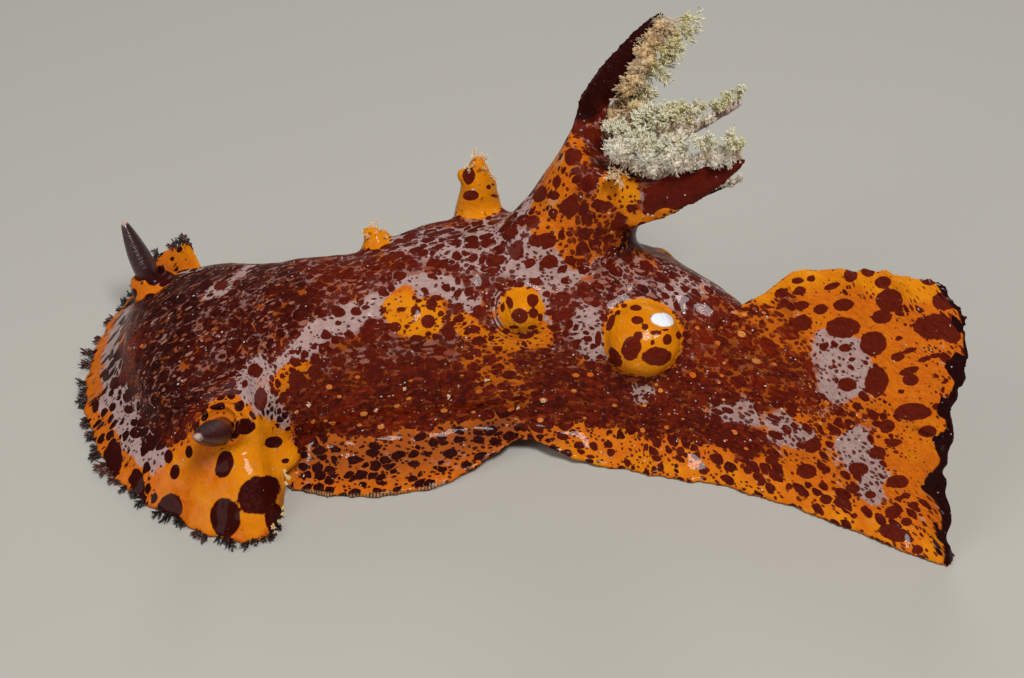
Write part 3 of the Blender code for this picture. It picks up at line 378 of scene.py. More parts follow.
def foot():
    """Foot: sloping margins that thin out to a rounded edge, arched over a fold near u = 2."""
    u = FOOT_FRONT + (TAIL_TIP - FOOT_FRONT) * np.linspace(0, 1, 300) ** 1.15
    top = along(GROOVE_Z, u) + FUSE
    near = foot_margin(u, FOOT_NEAR, 0.4)
    far = foot_margin(u, FOOT_FAR, 2.2)
    near_waist = np.minimum(along(WAIST_NEAR, u) - FUSE, near * WAIST_SHARE)
    far_waist = np.minimum(along(WAIST_FAR, u) - FUSE, far * WAIST_SHARE)
    lift = along(FOOT_LIFT, u)
    thick = np.minimum(EDGE_THICK, 0.45 * top)
    low = lift * 0.9 + thick
    mid = lift * 0.6 + thick
    zero = 0 * u
    control = [(far_waist, top),
               (far_waist + 0.35 * (far - far_waist), thick + 0.5 * (top - thick)),
               (far_waist + 0.7 * (far - far_waist), thick + 0.16 * (top - thick)),
               (far - 0.25, thick), (far, 0.5 * thick), (far - 0.35, zero),
               (far_waist * 0.5, zero), (zero, zero), (-near_waist * 0.45, zero),
               (-near_waist * 0.62 - 0.1 * near, 0.12 * lift),
               (-near_waist - 0.2 * (near - near_waist), 0.55 * lift), (-near + 0.35, lift),
               (-near, lift + 0.5 * thick), (-near + 0.25, lift + thick),
               (-near_waist - 0.7 * (near - near_waist), low + 0.16 * (top - low)),
               (-near_waist - 0.35 * (near - near_waist), mid + 0.55 * (top - mid)),
               (-near_waist, top), (zero, top)]
    loop = np.stack([np.stack(c, -1) for c in control], 1)
    return shells(place(u[:, None], loop[..., 0], np.maximum(loop[..., 1], 0.02))[None])


def crest():
    """Thin blade on the tail: both faces follow the paddle's slope up to a wavy top edge."""
    u = np.linspace(CREST_START, TAIL_TIP, 130)[:, None]
    margin = along(FOOT_NEAR, u)
    bottom = along(CROWN_Z, u) - 2.6
    top = along(CREST_TOP, u) - 0.12 + 0.12 * np.sin(u * 1.7)
    part = np.linspace(0.0, 0.97, 26)[None]
    z = bottom + (top - bottom) * part
    face = -margin + PADDLE_SLOPE * z + 0.15 * np.sin(u * 0.8 + z * 0.5) * part
    thick = along(CREST_ROOT_THICK, u) * (1 - part) + CREST_EDGE_THICK * part
    peak = -margin + PADDLE_SLOPE * top + CREST_EDGE_THICK * 0.5
    w = np.concatenate((face, peak, (face + thick)[:, ::-1]), 1)
    height = np.concatenate((z, top, z[:, ::-1]), 1)
    return shells(place(u, w, height)[None])


def veil_margin(k):
    """Margin and root of the veil at places k: forward, sideways, height, root, inward."""
    places = np.arange(len(VEIL_EDGE))
    edge = [along(tuple(zip(places, column)), k) for column in np.array(VEIL_EDGE).T]
    root = [along(tuple(zip(places, column)), k) for column in np.array(VEIL_ROOT).T]
    rim = np.stack(edge[:2], -1)
    root = np.stack(root, -1)
    inward = unit(root - rim)
    scallop = 0.28 + 0.28 * np.sin(k * 11.0) * np.sin(k * 4.3 + 1.0)
    return rim + inward * scallop[:, None], edge[2], root + inward * VEIL_SINK


def veil():
    """Oral veil: rows from root to rim, falling as (1 - part)^1.15, with a swollen left lobe."""
    k = np.linspace(0.03, 12.97, 240)
    rim, rim_z, root = veil_margin(k)
    swell = 1.5 * np.exp(-((k - 1.8) / 1.4) ** 2)[:, None]
    part = np.linspace(0.0, 1.0, 24)[None]
    fall = (1 - part) ** 1.15
    rim_z = rim_z[:, None]
    root_z = along(VEIL_ROOT_RISE, k)[:, None]
    upper = rim_z + (root_z - rim_z) * fall + swell * np.sin(math.pi * part)
    under = rim_z - 0.7 + (VEIL_ROOT_BOTTOM - rim_z + 0.7) * (1 - part) ** 1.3 - 0.15
    under = np.minimum(np.maximum(0.03, under), upper - 0.6)
    way = root[:, None] + (rim - root)[:, None] * part[..., None]
    z = np.concatenate((upper, under[:, ::-1]), 1)
    flat = np.concatenate((way, way[:, ::-1]), 1)
    return shells(head_place(flat[..., 0], flat[..., 1], z)[None])


def tube(line, wide, thick, sides, across):
    """Ellipse of half sizes wide and thick carried along a line; thick lies along across."""
    tangent = unit(np.gradient(line, axis=0))
    first = unit(np.cross(tangent, across))
    second = np.cross(first, tangent)
    angle = np.linspace(0, 2 * math.pi, sides, endpoint=False)[None, :, None]
    ring = wide[:, None, None] * first[:, None] * np.cos(angle)
    ring = ring + thick[:, None, None] * second[:, None] * np.sin(angle)
    return line[:, None] + ring


def bezier(points, t):
    """Quadratic curve through root and tip, pulled to the middle point."""
    a, b, c = np.array(points, float)
    t = np.asarray(t)[:, None]
    return a * (1 - t) ** 2 + 2 * b * t * (1 - t) + c * t * t


def stalk():
    """Stalk that flares into the back, with a shallow cup at its top."""
    line = smooth_rows(np.array(STALK_AXIS, float), 9)
    part = np.linspace(0, 1, len(line))
    spot = np.linspace(0, 1, len(STALK_AXIS))
    wide = along(tuple(zip(spot, STALK_HALF_LENGTH)), part)
    thick = along(tuple(zip(spot, STALK_HALF_WIDTH)), part)
    rings = tube(line, wide, thick, 60, np.array((0.0, 1.0, 0.05)))
    axis = unit(line[-1] - line[-4])
    centre = rings[-1].mean(0)
    cup = [centre + (rings[-1] - centre) * share - axis * sink
           for share, sink in ((0.93, -0.1), (0.80, 0.1), (0.60, 0.5), (0.35, 0.8), (0.12, 0.9))]
    return shells(np.concatenate((rings, cup))[None])


def leaf_frame(name):
    """Rise direction of a gill leaf, square to its chord, and the normal of its flat face."""
    root, _, tip = np.array(GILL_STEMS[name])
    chord = tip - root
    up = np.array((1.0, 0.2, 0.2) if abs(chord[2]) > STEEP_RISE else (0.25, 0.1, 1.0))
    return up, np.cross(chord, up)


def half_width(wide, t):
    """Half the width of a leaf's blade at shares t of its stem: it narrows as (1 - t)^0.75."""
    return 0.5 * wide * (1 - t) ** 0.75 + 0.35


def blade(name):
    """Stem of a gill leaf: flattened ellipse, half_width by half its thinning thickness."""
    wide, thick = GILL_SIZES[name][:2]
    t = np.linspace(0, 1, 60)
    line = bezier(GILL_STEMS[name], t)
    half_thick = 0.5 * thick * (1 - 0.6 * t) + 0.1
    return shells(tube(line, half_width(wide, t), half_thick, 28, leaf_frame(name)[1])[None])


def knob(base, axis, radius, height, levels, profile):
    """Round form on an axis: radius times profile at each level of its height."""
    axis = unit(np.array(axis, float))
    t = np.linspace(levels[0], levels[-1], 40)
    reach = along(tuple(zip(levels, profile)), t) * radius
    line = np.array(base, float) + axis * (t[:, None] * height)
    return shells(tube(line, reach, reach, 36, np.array((0.3, 0.9, 0.2)))[None])


def globe(base, axis, radius, height):
    """Globe on a short neck, with a few shallow bumps towards its rear when it is large."""
    levels = (-0.55, 0.0, 0.12, 0.32, 0.55, 0.76, 0.90, 0.98, 1.0)
    profile = (0.95, 0.96, 0.98, 1.0, 0.94, 0.74, 0.50, 0.22, 0.06)
    parts = [knob(base, axis, radius, height, levels, profile)]
    if radius > 4.0:
        for turn, at, share in BUMPS:
            way = np.array((math.cos(turn), math.sin(turn) - 0.3, 0.7))
            spot = np.array(base) + unit(np.array(axis, float)) * height * at
            parts.append(knob(spot + unit(way) * radius * 0.66, way, radius * share, radius * share,
                              levels, profile))
    return joined(parts)


def globe_middle(base, axis, height):
    """Middle of a globe, a little under half its height up the axis."""
    return np.array(base) + unit(np.array(axis)) * height * 0.45


def near_corner():
    """Rounded corner of the near lobe behind the rhinophore: a flattened knob."""
    forward, sideways, z = NEAR_CORNER
    t = np.linspace(-1.0, 1.0, 30)
    reach = 2.9 * np.sqrt(np.maximum(1 - t * t, 0.003))
    line = head_place(0 * t + forward, 0 * t + sideways, z + 1.7 * t)
    return shells(tube(line, reach, reach, 32, np.array((0.3, 0.9, 0.0)))[None])


def lobe(base, axis, radius, height):
    """Pointed lobe, lumpy from three shallow shoulders."""
    levels = (-0.3, 0.0, 0.3, 0.6, 0.85, 1.0)
    profile = (1.0, 1.0, 0.86, 0.66, 0.42, 0.16)
    parts = [knob(base, axis, radius, height, levels, profile)]
    for turn, at in ((0.6, 0.45), (2.9, 0.62), (4.4, 0.35)):
        way = np.array((math.cos(turn), 0.4 * math.sin(turn), 0.5))
        spot = np.array(base) + unit(np.array(axis, float)) * height * at + way * radius * 0.38
        parts.append(knob(spot, way, radius * 0.42, radius * 0.5, levels, profile))
    return joined(parts)


def sheath(side):
    """Low collar with a shallow cup, out of which the rhinophore stands."""
    base, tip = np.array(RHINOPHORES[side])
    axis = unit(unit(tip - base) + np.array((0, 0, 0.45)))
    outer = ((-1.8, 3.1), (0.0, 3.1), (1.0, 2.95), (1.8, 2.7), (2.3, 2.45), (2.5, 2.2))
    cup = ((2.3, 1.95), (1.9, 1.85), (1.5, 1.8), (1.3, 1.0))
    height, size = np.array(outer + cup).T
    line = base - axis * 0.6 + axis * height[:, None]
    ring = tube(base + axis * np.linspace(0, 1, len(size))[:, None], size, size, 36,
                np.array((0.3, 0.9, 0.2)))
    ring = ring - ring.mean(1, keepdims=True) + line[:, None]
    return shells(ring[None])


def muzzle():
    """Mouth on the underside of the head, with the two flat tentacles beside it."""
    places = (-3.4, -2.6, -0.8, 1.4, 3.4, 4.9, 5.6)
    widths = (1.6, 2.7, 3.6, 3.7, 3.2, 2.2, 1.0)
    t = np.linspace(places[0], places[-1], 40)
    wide = along(tuple(zip(places, widths)), t)
    line = head_place(t, 0.0 * t, 2.5 + 0.0 * t)
    upright = np.array((0.0, 0.0, 1.0))
    parts = [shells(tube(line, wide, wide * 0.5 + 0.05, 28, upright)[None])]
    t = np.linspace(0, 1, 20)
    for way in (-1.0, 1.0):
        line = head_place(3.2 + 0.9 * t, way * (5.2 + 2.6 * t), 3.3 - 1.5 * t)
        wide = along(((0, 1.5), (0.35, 1.7), (0.7, 1.2), (1.0, 0.5)), t)
        thick = along(((0, 1.3), (0.35, 1.0), (0.7, 0.7), (1.0, 0.4)), t)
        parts.append(shells(tube(line, wide, thick, 20, upright)[None]))
    return joined(parts)


def fused(parts, voxel):
    """One surface around overlapping shells, by voxel remesh; its points and quads."""
    rough = mesh_object("rough_skin", *joined(parts))
    change = rough.modifiers.new("fuse", "REMESH")
    change.mode = "VOXEL"
    change.voxel_size = voxel
    bpy.context.view_layer.update()
    graph = bpy.context.evaluated_depsgraph_get()
    mesh = rough.evaluated_get(graph).to_mesh()
    points = np.empty(len(mesh.vertices) * 3)
    mesh.vertices.foreach_get("co", points)
    corners = np.empty(len(mesh.loops), int)
    mesh.loops.foreach_get("vertex_index", corners)
    points, quads = points.reshape(-1, 3), corners.reshape(-1, 4)
    bpy.data.objects.remove(rough)
    return points, quads


def sides_of(quads):
    """Every edge of the quads once, as pairs of point numbers."""
    pairs = np.concatenate([quads[:, (i, (i + 1) % 4)] for i in range(4)])
    return np.unique(np.sort(pairs, 1), axis=0)


def largest(points, quads):
    """The biggest connected surface: labels spread along edges until they agree."""
    edges = sides_of(quads)
    label = np.arange(len(points))
    while True:
        least = np.minimum(label[edges[:, 0]], label[edges[:, 1]])
        fresh = label.copy()
        np.minimum.at(fresh, edges[:, 0], least)
        np.minimum.at(fresh, edges[:, 1], least)
        np.minimum.at(fresh, label[edges[:, 0]], least)
        np.minimum.at(fresh, label[edges[:, 1]], least)
        fresh = fresh[fresh]
        if (fresh == label).all():
            break
        label = fresh
    best = np.bincount(label).argmax()
    keep = label == best
    number = np.cumsum(keep) - 1
    return points[keep], number[quads[keep[quads[:, 0]]]]


def smoothed(points, quads, rounds, pushes, weight=1.0):
    """Smoothing: each push moves the points by that share, times weight, of the way to the
    mean of their neighbours. A push back after it keeps the form from shrinking."""
    edges = sides_of(quads)
    a, b = np.concatenate((edges, edges[:, ::-1])).T
    count = np.bincount(a, minlength=len(points))[:, None]
    for push in pushes * rounds:
        mean = np.stack([np.bincount(a, points[b, i], len(points)) for i in range(3)], 1)
        points = points + push * weight * (mean / count - points)
    return points


def outward_normals(points, quads):
    """Normal at each point: sum of the cross products of the diagonals around it."""
    p = points[quads]
    face = np.cross(p[:, 2] - p[:, 0], p[:, 3] - p[:, 1])
    total = [np.bincount(quads.ravel(), np.repeat(face[:, i], 4), len(points)) for i in range(3)]
    outward = unit(np.stack(total, 1))
    return outward if volume(points, quads, np.zeros((0, 3), int)) > 0 else -outward


def stroke_distance(points, path):
    """Distance from each point to a path of straight pieces."""
    path = np.array(path, float).reshape(-1, 3)
    if len(path) == 1:
        return np.linalg.norm(points - path[0], axis=1)
    best = np.full(len(points), np.inf)
    for a, b in zip(path[:-1], path[1:]):
        t = np.clip((points - a) @ (b - a) / ((b - a) @ (b - a)), 0, 1)
        best = np.minimum(best, np.linalg.norm(points - a - t[:, None] * (b - a), axis=1))
    return best


# Colour plan of the skin. Each stroke: path, radius, then the plan's values in this order:
# share of the skin under medium, small and large spots, lilac ground, gold ground, blackness
# of the spots, orange dots
PLAN = ("tiles", "dust", "large", "lilac", "gold", "black", "dots")
STROKES = (
    # Head: dark cap
    (((-41, -9, 10), (-36, -2, 15), (-42, 4, 11)), 6.5, (0.58, 0.70, 0.05, 0.6, 0.0, 0.95, 0.1)),
    (((-35, -9, 14), (-28, -5, 18), (-33, 3, 17)), 5.5, (0.54, 0.62, 0.05, 0.55, 0.05, 0.7, 0.2)),
    # Lilac with big ovals beside the neck, then the pale line along the near ridge
    (((-29.5, -12.5, 13.5), (-30, -15, 11)), 2.6, (0.06, 0.14, 0.0, 0.9, 0.1, 0.5, 0.0)),
    (((-28, -12.6, 14.0), (-24.5, -10.7, 16.0), (-20, -8.3, 17.7), (-13, -5.4, 20.0),
      (-9, -4.8, 20.8), (-5, -6.0, 19.4)), 1.4, (0.26, 0.14, 0.0, 1.0, 0.0, 0.3, 0.0)),
    (((-26.5, -12.8, 13.0), (-24.8, -12.2, 14.0)), 1.4, (0.30, 0.2, 0.0, 0.1, 0.5, 0.3, 0.2)),
    (((-37.1, 1.7, 14.6), (-33, 4.5, 15.2)), 1.6, (0.20, 0.25, 0.0, 0.9, 0.0, 0.5, 0.0)),
    # Orange patch of the first papilla and the ground under the second
    (((-12.3, -7.4, 18.4), (-9.4, -7.2, 18.2)), 2.4, (0.04, 0.12, 0.0, 0.0, 0.8, 0.3, 0.0)),
    (((-6.5, -7.4, 17.5), (-3.6, -8.4, 15.5)), 1.5, (0.22, 0.2, 0.0, 0.0, 0.5, 0.3, 0.1)),
    (((-3.0, -9.2, 12.0), (0.0, -9.4, 7.5)), 2.8, (0.44, 0.40, 0.0, 0.0, 0.15, 0.1, 0.6)),
    (((0.9, -7.6, 18.8),), 3.6, (0.10, 0.12, 0.0, 0.6, 0.2, 0.2, 0.0)),
    (((-0.5, -9.0, 16.0), (3.5, -9.0, 15.6)), 1.7, (0.08, 0.12, 0.0, 0.0, 0.5, 0.2, 0.2)),
    (((15.5, -9.4, 16.0),), 4.9, (0.16, 0.18, 0.0, 0.35, 0.35, 0.2, 0.1)),
    # Distinct spots on pale ground from the far back up the stalk
    (((-14, 3, 21.6), (-4, -0.5, 23.0), (3, -3.2, 24.0)), 3.2,
     (0.56, 0.34, 0.0, 0.9, 0.0, 0.4, 0.0)),
    (((3, -3.0, 23.5), (7, -4.2, 24.0)), 3.2, (0.20, 0.22, 0.0, 0.85, 0.0, 0.2, 0.0)),
    (((-5, 3, 24), (0, 4, 25), (3, 3, 28)), 2.6, (0.52, 0.28, 0.0, 0.9, 0.1, 0.5, 0.0)),
    (((5.0, -1, 27.5), (4.5, 1, 31.5), (5.0, 3.0, 34)), 3.4,
     (0.14, 0.18, 0.0, 0.15, 0.35, 0.4, 0.0)),
    (((9.5, -2.6, 26.0), (12, -2.4, 29.5)), 3.2, (0.46, 0.44, 0.10, 0.1, 0.25, 0.2, 0.2)),
    (((11.2, -1.6, 32.8), (13.4, -1.6, 32.0)), 1.6, (0.08, 0.10, 0.0, 0.0, 0.6, 0.2, 0.0)),
    (((14.6, -3.2, 28.8), (19.0, -3.8, 30.0)), 1.5, (0.16, 0.16, 0.0, 0.0, 0.45, 0.2, 0.0)),
    (((14.5, -1.5, 24.5), (17, -1.0, 22.0)), 2.6, (0.58, 0.55, 0.1, 0.3, 0.1, 0.8, 0.0)),
    # Lilac between the papillae, dense spots behind the stalk, lilac saddle before the tail
    (((8.5, -7.4, 17.6), (9.5, -9.0, 14.5)), 2.0, (0.30, 0.2, 0.0, 0.9, 0.1, 0.2, 0.0)),
    (((13, -3.5, 20.5), (18, -2.2, 20.0)), 2.8, (0.50, 0.48, 0.0, 0.7, 0.0, 0.5, 0.0)),
    (((19.5, -4.0, 18.0), (22.6, -2.0, 17.9)), 2.2, (0.36, 0.34, 0.0, 0.95, 0.0, 0.4, 0.0)),
    (((15.2, -10.9, 9.0),), 1.6, (0.30, 0.26, 0.0, 0.9, 0.0, 0.2, 0.1)),
    # Tail: dense middle, orange top and rear, lilac islands
    (((24, -8.5, 14.5), (30, -11.0, 13.5), (34, -13.4, 13.0)), 4.0,
     (0.46, 0.62, 0.05, 0.3, 0.1, 0.3, 0.8)),
    (((28, -8, 18.5), (32, -10.5, 17.5)), 2.4, (0.40, 0.45, 0.05, 0.1, 0.2, 0.3, 0.6)),
    (((27, -7.0, 20.8), (30, -7.6, 23.8), (38, -9.0, 26), (46, -12, 26.5)), 2.2,
     (0.02, 0.05, 0.0, 0.0, 0.7, 0.4, 0.0)),
    (((36, -10.5, 21.5), (43, -14, 19.5), (45, -17, 16)), 3.4,
     (0.01, 0.04, 0.0, 0.0, 0.3, 0.4, 0.0)),
    (((36.0, -12.0, 18.0), (39.5, -14.4, 17.0), (37.5, -15.2, 14.2)), 2.3,
     (0.12, 0.16, 0.0, 0.9, 0.0, 0.2, 0.1)),
    (((36.3, -16.6, 10.0), (39, -17.4, 11.0)), 2.0, (0.40, 0.45, 0.05, 0.3, 0.1, 0.3, 0.6)),
    (((24.7, -12.3, 7.8), (29, -14.6, 7.8), (33.2, -16.6, 7.4)), 2.0,
     (0.26, 0.28, 0.0, 0.85, 0.0, 0.2, 0.1)),
    (((38.5, -19.0, 8.6), (41.4, -21.2, 6.0), (41.0, -22.2, 4.0)), 1.7,
     (0.10, 0.20, 0.0, 0.95, 0.0, 0.3, 0.0)),
    (((46, -20, 13.5), (46, -23, 7)), 2.4, (0.02, 0.06, 0.0, 0.0, 0.4, 0.4, 0.0)),
)

# Single spots, by region. Each: place, half width and half height across the sight line,
# and how far it is turned, in degrees
MARKS = {
    "large globe": (
        (12.5, -5.2, 19.0, 0.5, 0.3, 0), (13.1, -5.9, 18.6, 0.4, 0.3, 0),
        (14.4, -7.0, 19.2, 0.7, 0.4, 0), (11.5, -7.7, 17.5, 0.4, 1.0, 20),
        (12.4, -6.8, 18.3, 0.3, 0.3, 0), (14.4, -9.0, 19.0, 0.7, 0.5, 0),
        (15.3, -9.8, 18.7, 0.4, 0.4, 0), (14.5, -10.6, 18.1, 0.5, 0.5, 0),
        (10.1, -8.2, 15.4, 0.4, 0.9, 0), (13.7, -11.5, 16.9, 1.1, 1.4, 20),
        (12.0, -10.8, 14.8, 0.6, 1.3, -25), (16.7, -12.0, 16.1, 1.8, 1.1, 0),
        (16.5, -10.5, 18.4, 0.7, 0.3, 0), (17.9, -11.3, 18.1, 0.6, 0.7, 0),
        (19.4, -8.9, 16.6, 0.5, 0.5, 0), (17.7, -10.5, 18.9, 0.5, 0.2, 0),
        (16.1, -11.3, 17.7, 0.3, 0.3, 0), (16.3, -8.5, 19.1, 0.4, 0.3, 0)),
    "second globe": (
        (-0.3, -7.0, 20.0, 0.4, 0.8, -15), (-1.1, -6.8, 19.1, 0.3, 0.6, 0),
        (2.4, -6.9, 20.3, 0.7, 0.8, 0), (0.9, -8.7, 19.4, 1.0, 0.9, 0),
        (2.5, -8.2, 19.4, 0.6, 0.6, 0), (3.3, -7.7, 18.3, 0.3, 0.5, 0),
        (2.4, -8.2, 17.2, 0.6, 0.3, 0), (0.2, -8.6, 17.6, 0.6, 0.2, 0),
        (-0.7, -7.9, 16.3, 0.5, 0.3, 0), (1.6, -8.1, 15.7, 0.8, 0.3, 0),
        (2.3, -8.1, 16.1, 0.4, 0.2, 0), (-2.3, -7.7, 16.5, 0.4, 0.4, 0),
        (-1.1, -5.5, 19.9, 0.4, 0.2, 0), (3.2, -5.8, 19.9, 0.3, 0.1, 0),
        (-0.1, -4.8, 20.6, 0.4, 0.2, 0), (1.9, -5.1, 20.5, 0.3, 0.2, 0)),
    "first globe": (
        (-12.9, -6.7, 18.7, 0.6, 0.3, 0), (-11.2, -6.7, 18.5, 0.6, 0.6, 0),
        (-9.4, -6.1, 18.9, 0.7, 0.7, 0), (-11.4, -5.7, 19.6, 0.3, 0.3, 0),
        (-8.3, -6.8, 18.1, 0.4, 0.4, 0), (-7.4, -7.0, 18.0, 0.4, 0.2, 0),
        (-9.8, -7.5, 17.5, 0.8, 0.8, 0), (-11.4, -7.8, 17.8, 0.3, 0.2, 0),
        (-12.2, -8.2, 17.4, 0.4, 0.2, 0), (-7.5, -7.9, 16.4, 0.8, 0.8, 0),
        (-7.1, -7.5, 17.2, 0.5, 0.3, 0), (-4.6, -7.7, 16.5, 0.9, 0.5, 0),
        (-6.2, -6.3, 18.9, 0.4, 0.4, 0), (-4.0, -6.6, 18.5, 0.6, 0.6, 0),
        (-13.6, -8.0, 17.1, 0.7, 0.6, 0), (-15.0, -6.9, 18.7, 0.4, 0.4, 0)),
    "far lobe": (
        (-5.2, 8.0, 27.2, 0.8, 1.0, 0), (-5.0, 7.0, 25.0, 1.0, 0.6, 0),
        (-2.8, 7.6, 25.8, 0.3, 0.3, 0), (-2.3, 8.3, 25.7, 0.2, 0.2, 0),
        (-2.1, 7.9, 24.3, 0.6, 0.2, 0)),
    "near lobe": (
        (-33.0, -24.3, 2.2, 1.8, 2.3, 0), (-29.3, -22.5, 3.9, 2.2, 2.2, 0),
        (-28.5, -21.5, 4.0, 1.7, 1.5, 0), (-27.6, -23.4, 1.4, 0.9, 1.5, 0),
        (-33.2, -19.7, 6.3, 1.0, 1.7, 15), (-28.0, -16.0, 6.1, 1.0, 0.7, 0),
        (-26.6, -17.5, 4.5, 0.5, 0.3, 0), (-30.7, -17.5, 10.2, 1.1, 0.9, 0),
        (-39.5, -18.7, 3.9, 0.6, 0.9, 15), (-43.1, -14.8, 4.7, 1.1, 1.0, 0),
        (-45.2, -12.7, 4.3, 1.0, 0.7, 0), (-40.4, -17.1, 4.8, 0.6, 0.8, 0),
        (-48.3, -14.3, 1.2, 1.5, 2.4, 0), (-44.4, -18.4, 1.4, 0.9, 2.0, -15),
        (-40.0, -21.7, 1.1, 1.6, 1.5, 0), (-37.7, -17.5, 6.0, 0.5, 0.8, 0)),
    "horn roots": (
        (-45.7, 7.8, 11.4, 1.0, 1.0, 0), (-44.4, 8.2, 11.0, 1.1, 1.1, 0),
        (-33.9, -15.9, 11.9, 1.0, 0.5, 0), (-36.4, -14.0, 10.0, 0.6, 0.5, 0),
        (-32.7, -13.4, 11.2, 0.5, 0.5, 0), (-31.5, -14.9, 11.0, 0.5, 0.7, 0)),
    "far side of the veil": (
        (-43.9, 15.3, 10.1, 0.5, 0.4, -20), (-44.9, 14.6, 9.1, 0.4, 0.3, 0),
        (-42.5, 10.5, 10.6, 0.9, 0.3, 0)),
    "brow": (
        (-48.4, 7.2, 9.4, 0.5, 0.6, 20), (-48.4, 4.7, 8.0, 0.6, 0.6, 20),
        (-50.9, 7.7, 4.4, 0.5, 0.7, 20), (-47.9, 0.1, 8.2, 0.7, 0.8, 20),
        (-49.5, -0.3, 5.6, 1.2, 0.6, -35), (-51.1, 1.3, 4.1, 0.4, 0.7, 20),
        (-51.4, -1.5, 3.2, 0.6, 0.7, 0), (-49.5, -4.2, 4.4, 0.9, 0.8, 0),
        (-47.1, -7.3, 5.2, 0.8, 0.8, 0), (-46.6, -9.3, 4.8, 0.9, 0.5, 0),
        (-52.1, -5.5, 1.7, 0.6, 0.9, 0), (-47.7, -3.8, 6.6, 0.5, 0.3, 0),
        (-52.1, 5.3, 3.3, 0.3, 0.3, 0), (-43.3, -11.6, 6.8, 1.5, 0.5, -30),
        (-42.3, -12.9, 6.8, 0.8, 0.4, -15), (-44.4, -12.0, 5.2, 0.7, 0.3, -10),
        (-41.8, -14.4, 6.1, 0.7, 0.8, 0)),
    "neck": (
        (-29.9, -11.7, 13.6, 1.0, 0.8, 20), (-29.0, -14.8, 12.0, 0.8, 1.4, 0),
        (-25.0, -12.6, 12.9, 0.9, 1.2, 0), (-22.9, -11.6, 13.2, 0.8, 0.9, 0),
        (-27.6, -14.2, 12.8, 0.3, 0.5, 0), (-26.6, -14.1, 11.2, 0.5, 0.6, 0),
        (-31.1, -12.6, 12.3, 0.4, 0.5, 0), (-32.7, -12.1, 11.9, 0.5, 0.6, 0),
        (-31.9, -10.6, 13.0, 0.5, 0.3, 0), (-26.5, -13.0, 13.9, 0.3, 0.3, 0),
        (-25.4, -10.9, 15.8, 0.5, 0.3, 0), (-24.2, -11.5, 15.1, 0.3, 0.4, 0),
        (-33.8, 2.3, 15.2, 0.6, 0.5, 0), (-35.9, 2.8, 14.4, 1.0, 0.7, 0),
        (-38.1, 3.8, 13.6, 0.8, 0.8, 0), (-40.1, 6.6, 12.4, 0.8, 0.5, 0)),
    "back": (
        (6.9, 1.3, 34.6, 1.0, 1.1, 0), (7.6, 5.6, 35.6, 0.9, 1.0, 0),
        (8.8, 5.4, 34.9, 0.7, 0.7, 0), (10.2, 5.2, 32.9, 0.6, 0.7, 0),
        (5.1, 0.5, 31.7, 0.5, 0.7, 0), (4.9, -0.3, 30.3, 0.6, 0.5, 0),
        (3.2, 1.5, 29.2, 1.0, 0.9, -40), (6.6, -1.6, 29.7, 1.1, 1.1, 0),
        (4.7, -1.0, 28.4, 0.6, 0.5, 0), (2.4, -0.4, 26.7, 0.8, 0.8, 0),
        (4.1, -2.2, 25.3, 1.1, 0.9, 0), (2.5, -1.9, 25.1, 0.6, 0.7, 0),
        (0.5, -1.9, 23.5, 0.9, 1.0, 0), (2.1, -3.0, 22.7, 0.7, 0.5, 0),
        (4.4, -3.4, 23.1, 1.0, 0.8, 0), (0.0, -0.1, 24.9, 0.8, 0.5, 0),
        (-1.0, -0.7, 23.5, 0.5, 0.3, 0), (2.8, -4.4, 20.9, 0.8, 0.5, 0),
        (1.4, -1.1, 25.2, 0.5, 0.3, 0), (3.4, -3.6, 22.3, 0.3, 0.3, 0),
        (5.9, -5.7, 19.5, 1.0, 0.9, 0), (4.0, -5.4, 19.9, 0.5, 0.4, 0),
        (-1.7, -2.0, 22.5, 0.7, 0.4, 0), (-2.3, -3.3, 21.7, 0.7, 0.4, 0),
        (-3.2, -4.2, 20.8, 0.6, 0.3, 0), (-4.4, -5.5, 19.8, 0.5, 0.4, 0),
        (-2.8, -6.3, 18.7, 0.3, 0.4, 0), (-13.7, 2.7, 21.4, 0.6, 0.4, 0),
        (-12.4, 2.7, 21.6, 0.4, 0.3, 0), (-13.3, -0.7, 22.0, 0.7, 0.5, 0),
        (-14.6, -0.7, 21.7, 0.5, 0.3, 0)),
    "tail": (
        (42.1, -11.2, 23.9, 1.4, 1.3, 0), (41.4, -12.1, 22.2, 1.0, 0.8, 0),
        (37.5, -11.3, 19.9, 1.8, 1.2, 0), (40.7, -13.4, 19.4, 1.4, 1.4, 0),
        (41.2, -15.9, 15.9, 1.2, 1.7, 0), (46.8, -14.5, 22.9, 2.1, 1.4, 0),
        (48.5, -15.4, 22.4, 0.9, 0.9, 0), (47.6, -13.1, 25.4, 1.3, 1.0, 0),
        (38.1, -8.5, 25.3, 0.7, 0.8, 0), (39.9, -8.7, 26.0, 0.7, 0.6, 0),
        (41.4, -9.8, 25.3, 0.8, 0.7, 0), (37.5, -9.9, 22.1, 1.1, 0.7, 0),
        (35.1, -9.6, 21.2, 0.8, 0.6, 0), (33.1, -8.9, 21.2, 0.8, 0.5, 0),
        (36.2, -8.4, 23.6, 0.9, 0.4, -20), (34.0, -7.5, 24.0, 0.5, 0.4, 0),
        (32.5, -7.3, 23.5, 0.7, 0.4, 0), (30.8, -7.5, 21.8, 0.7, 0.6, 0),
        (46.0, -11.0, 26.8, 0.9, 0.7, 0), (32.8, -8.0, 22.6, 0.7, 0.5, 0),
        (43.2, -15.1, 18.9, 0.7, 0.5, 0), (44.4, -15.1, 19.9, 0.7, 0.3, -15),
        (46.9, -16.3, 20.2, 0.6, 0.3, -10), (45.7, -16.1, 19.4, 0.5, 0.3, -15),
        (44.4, -16.3, 17.9, 1.1, 0.4, -20), (44.6, -16.9, 17.1, 0.8, 0.7, 0),
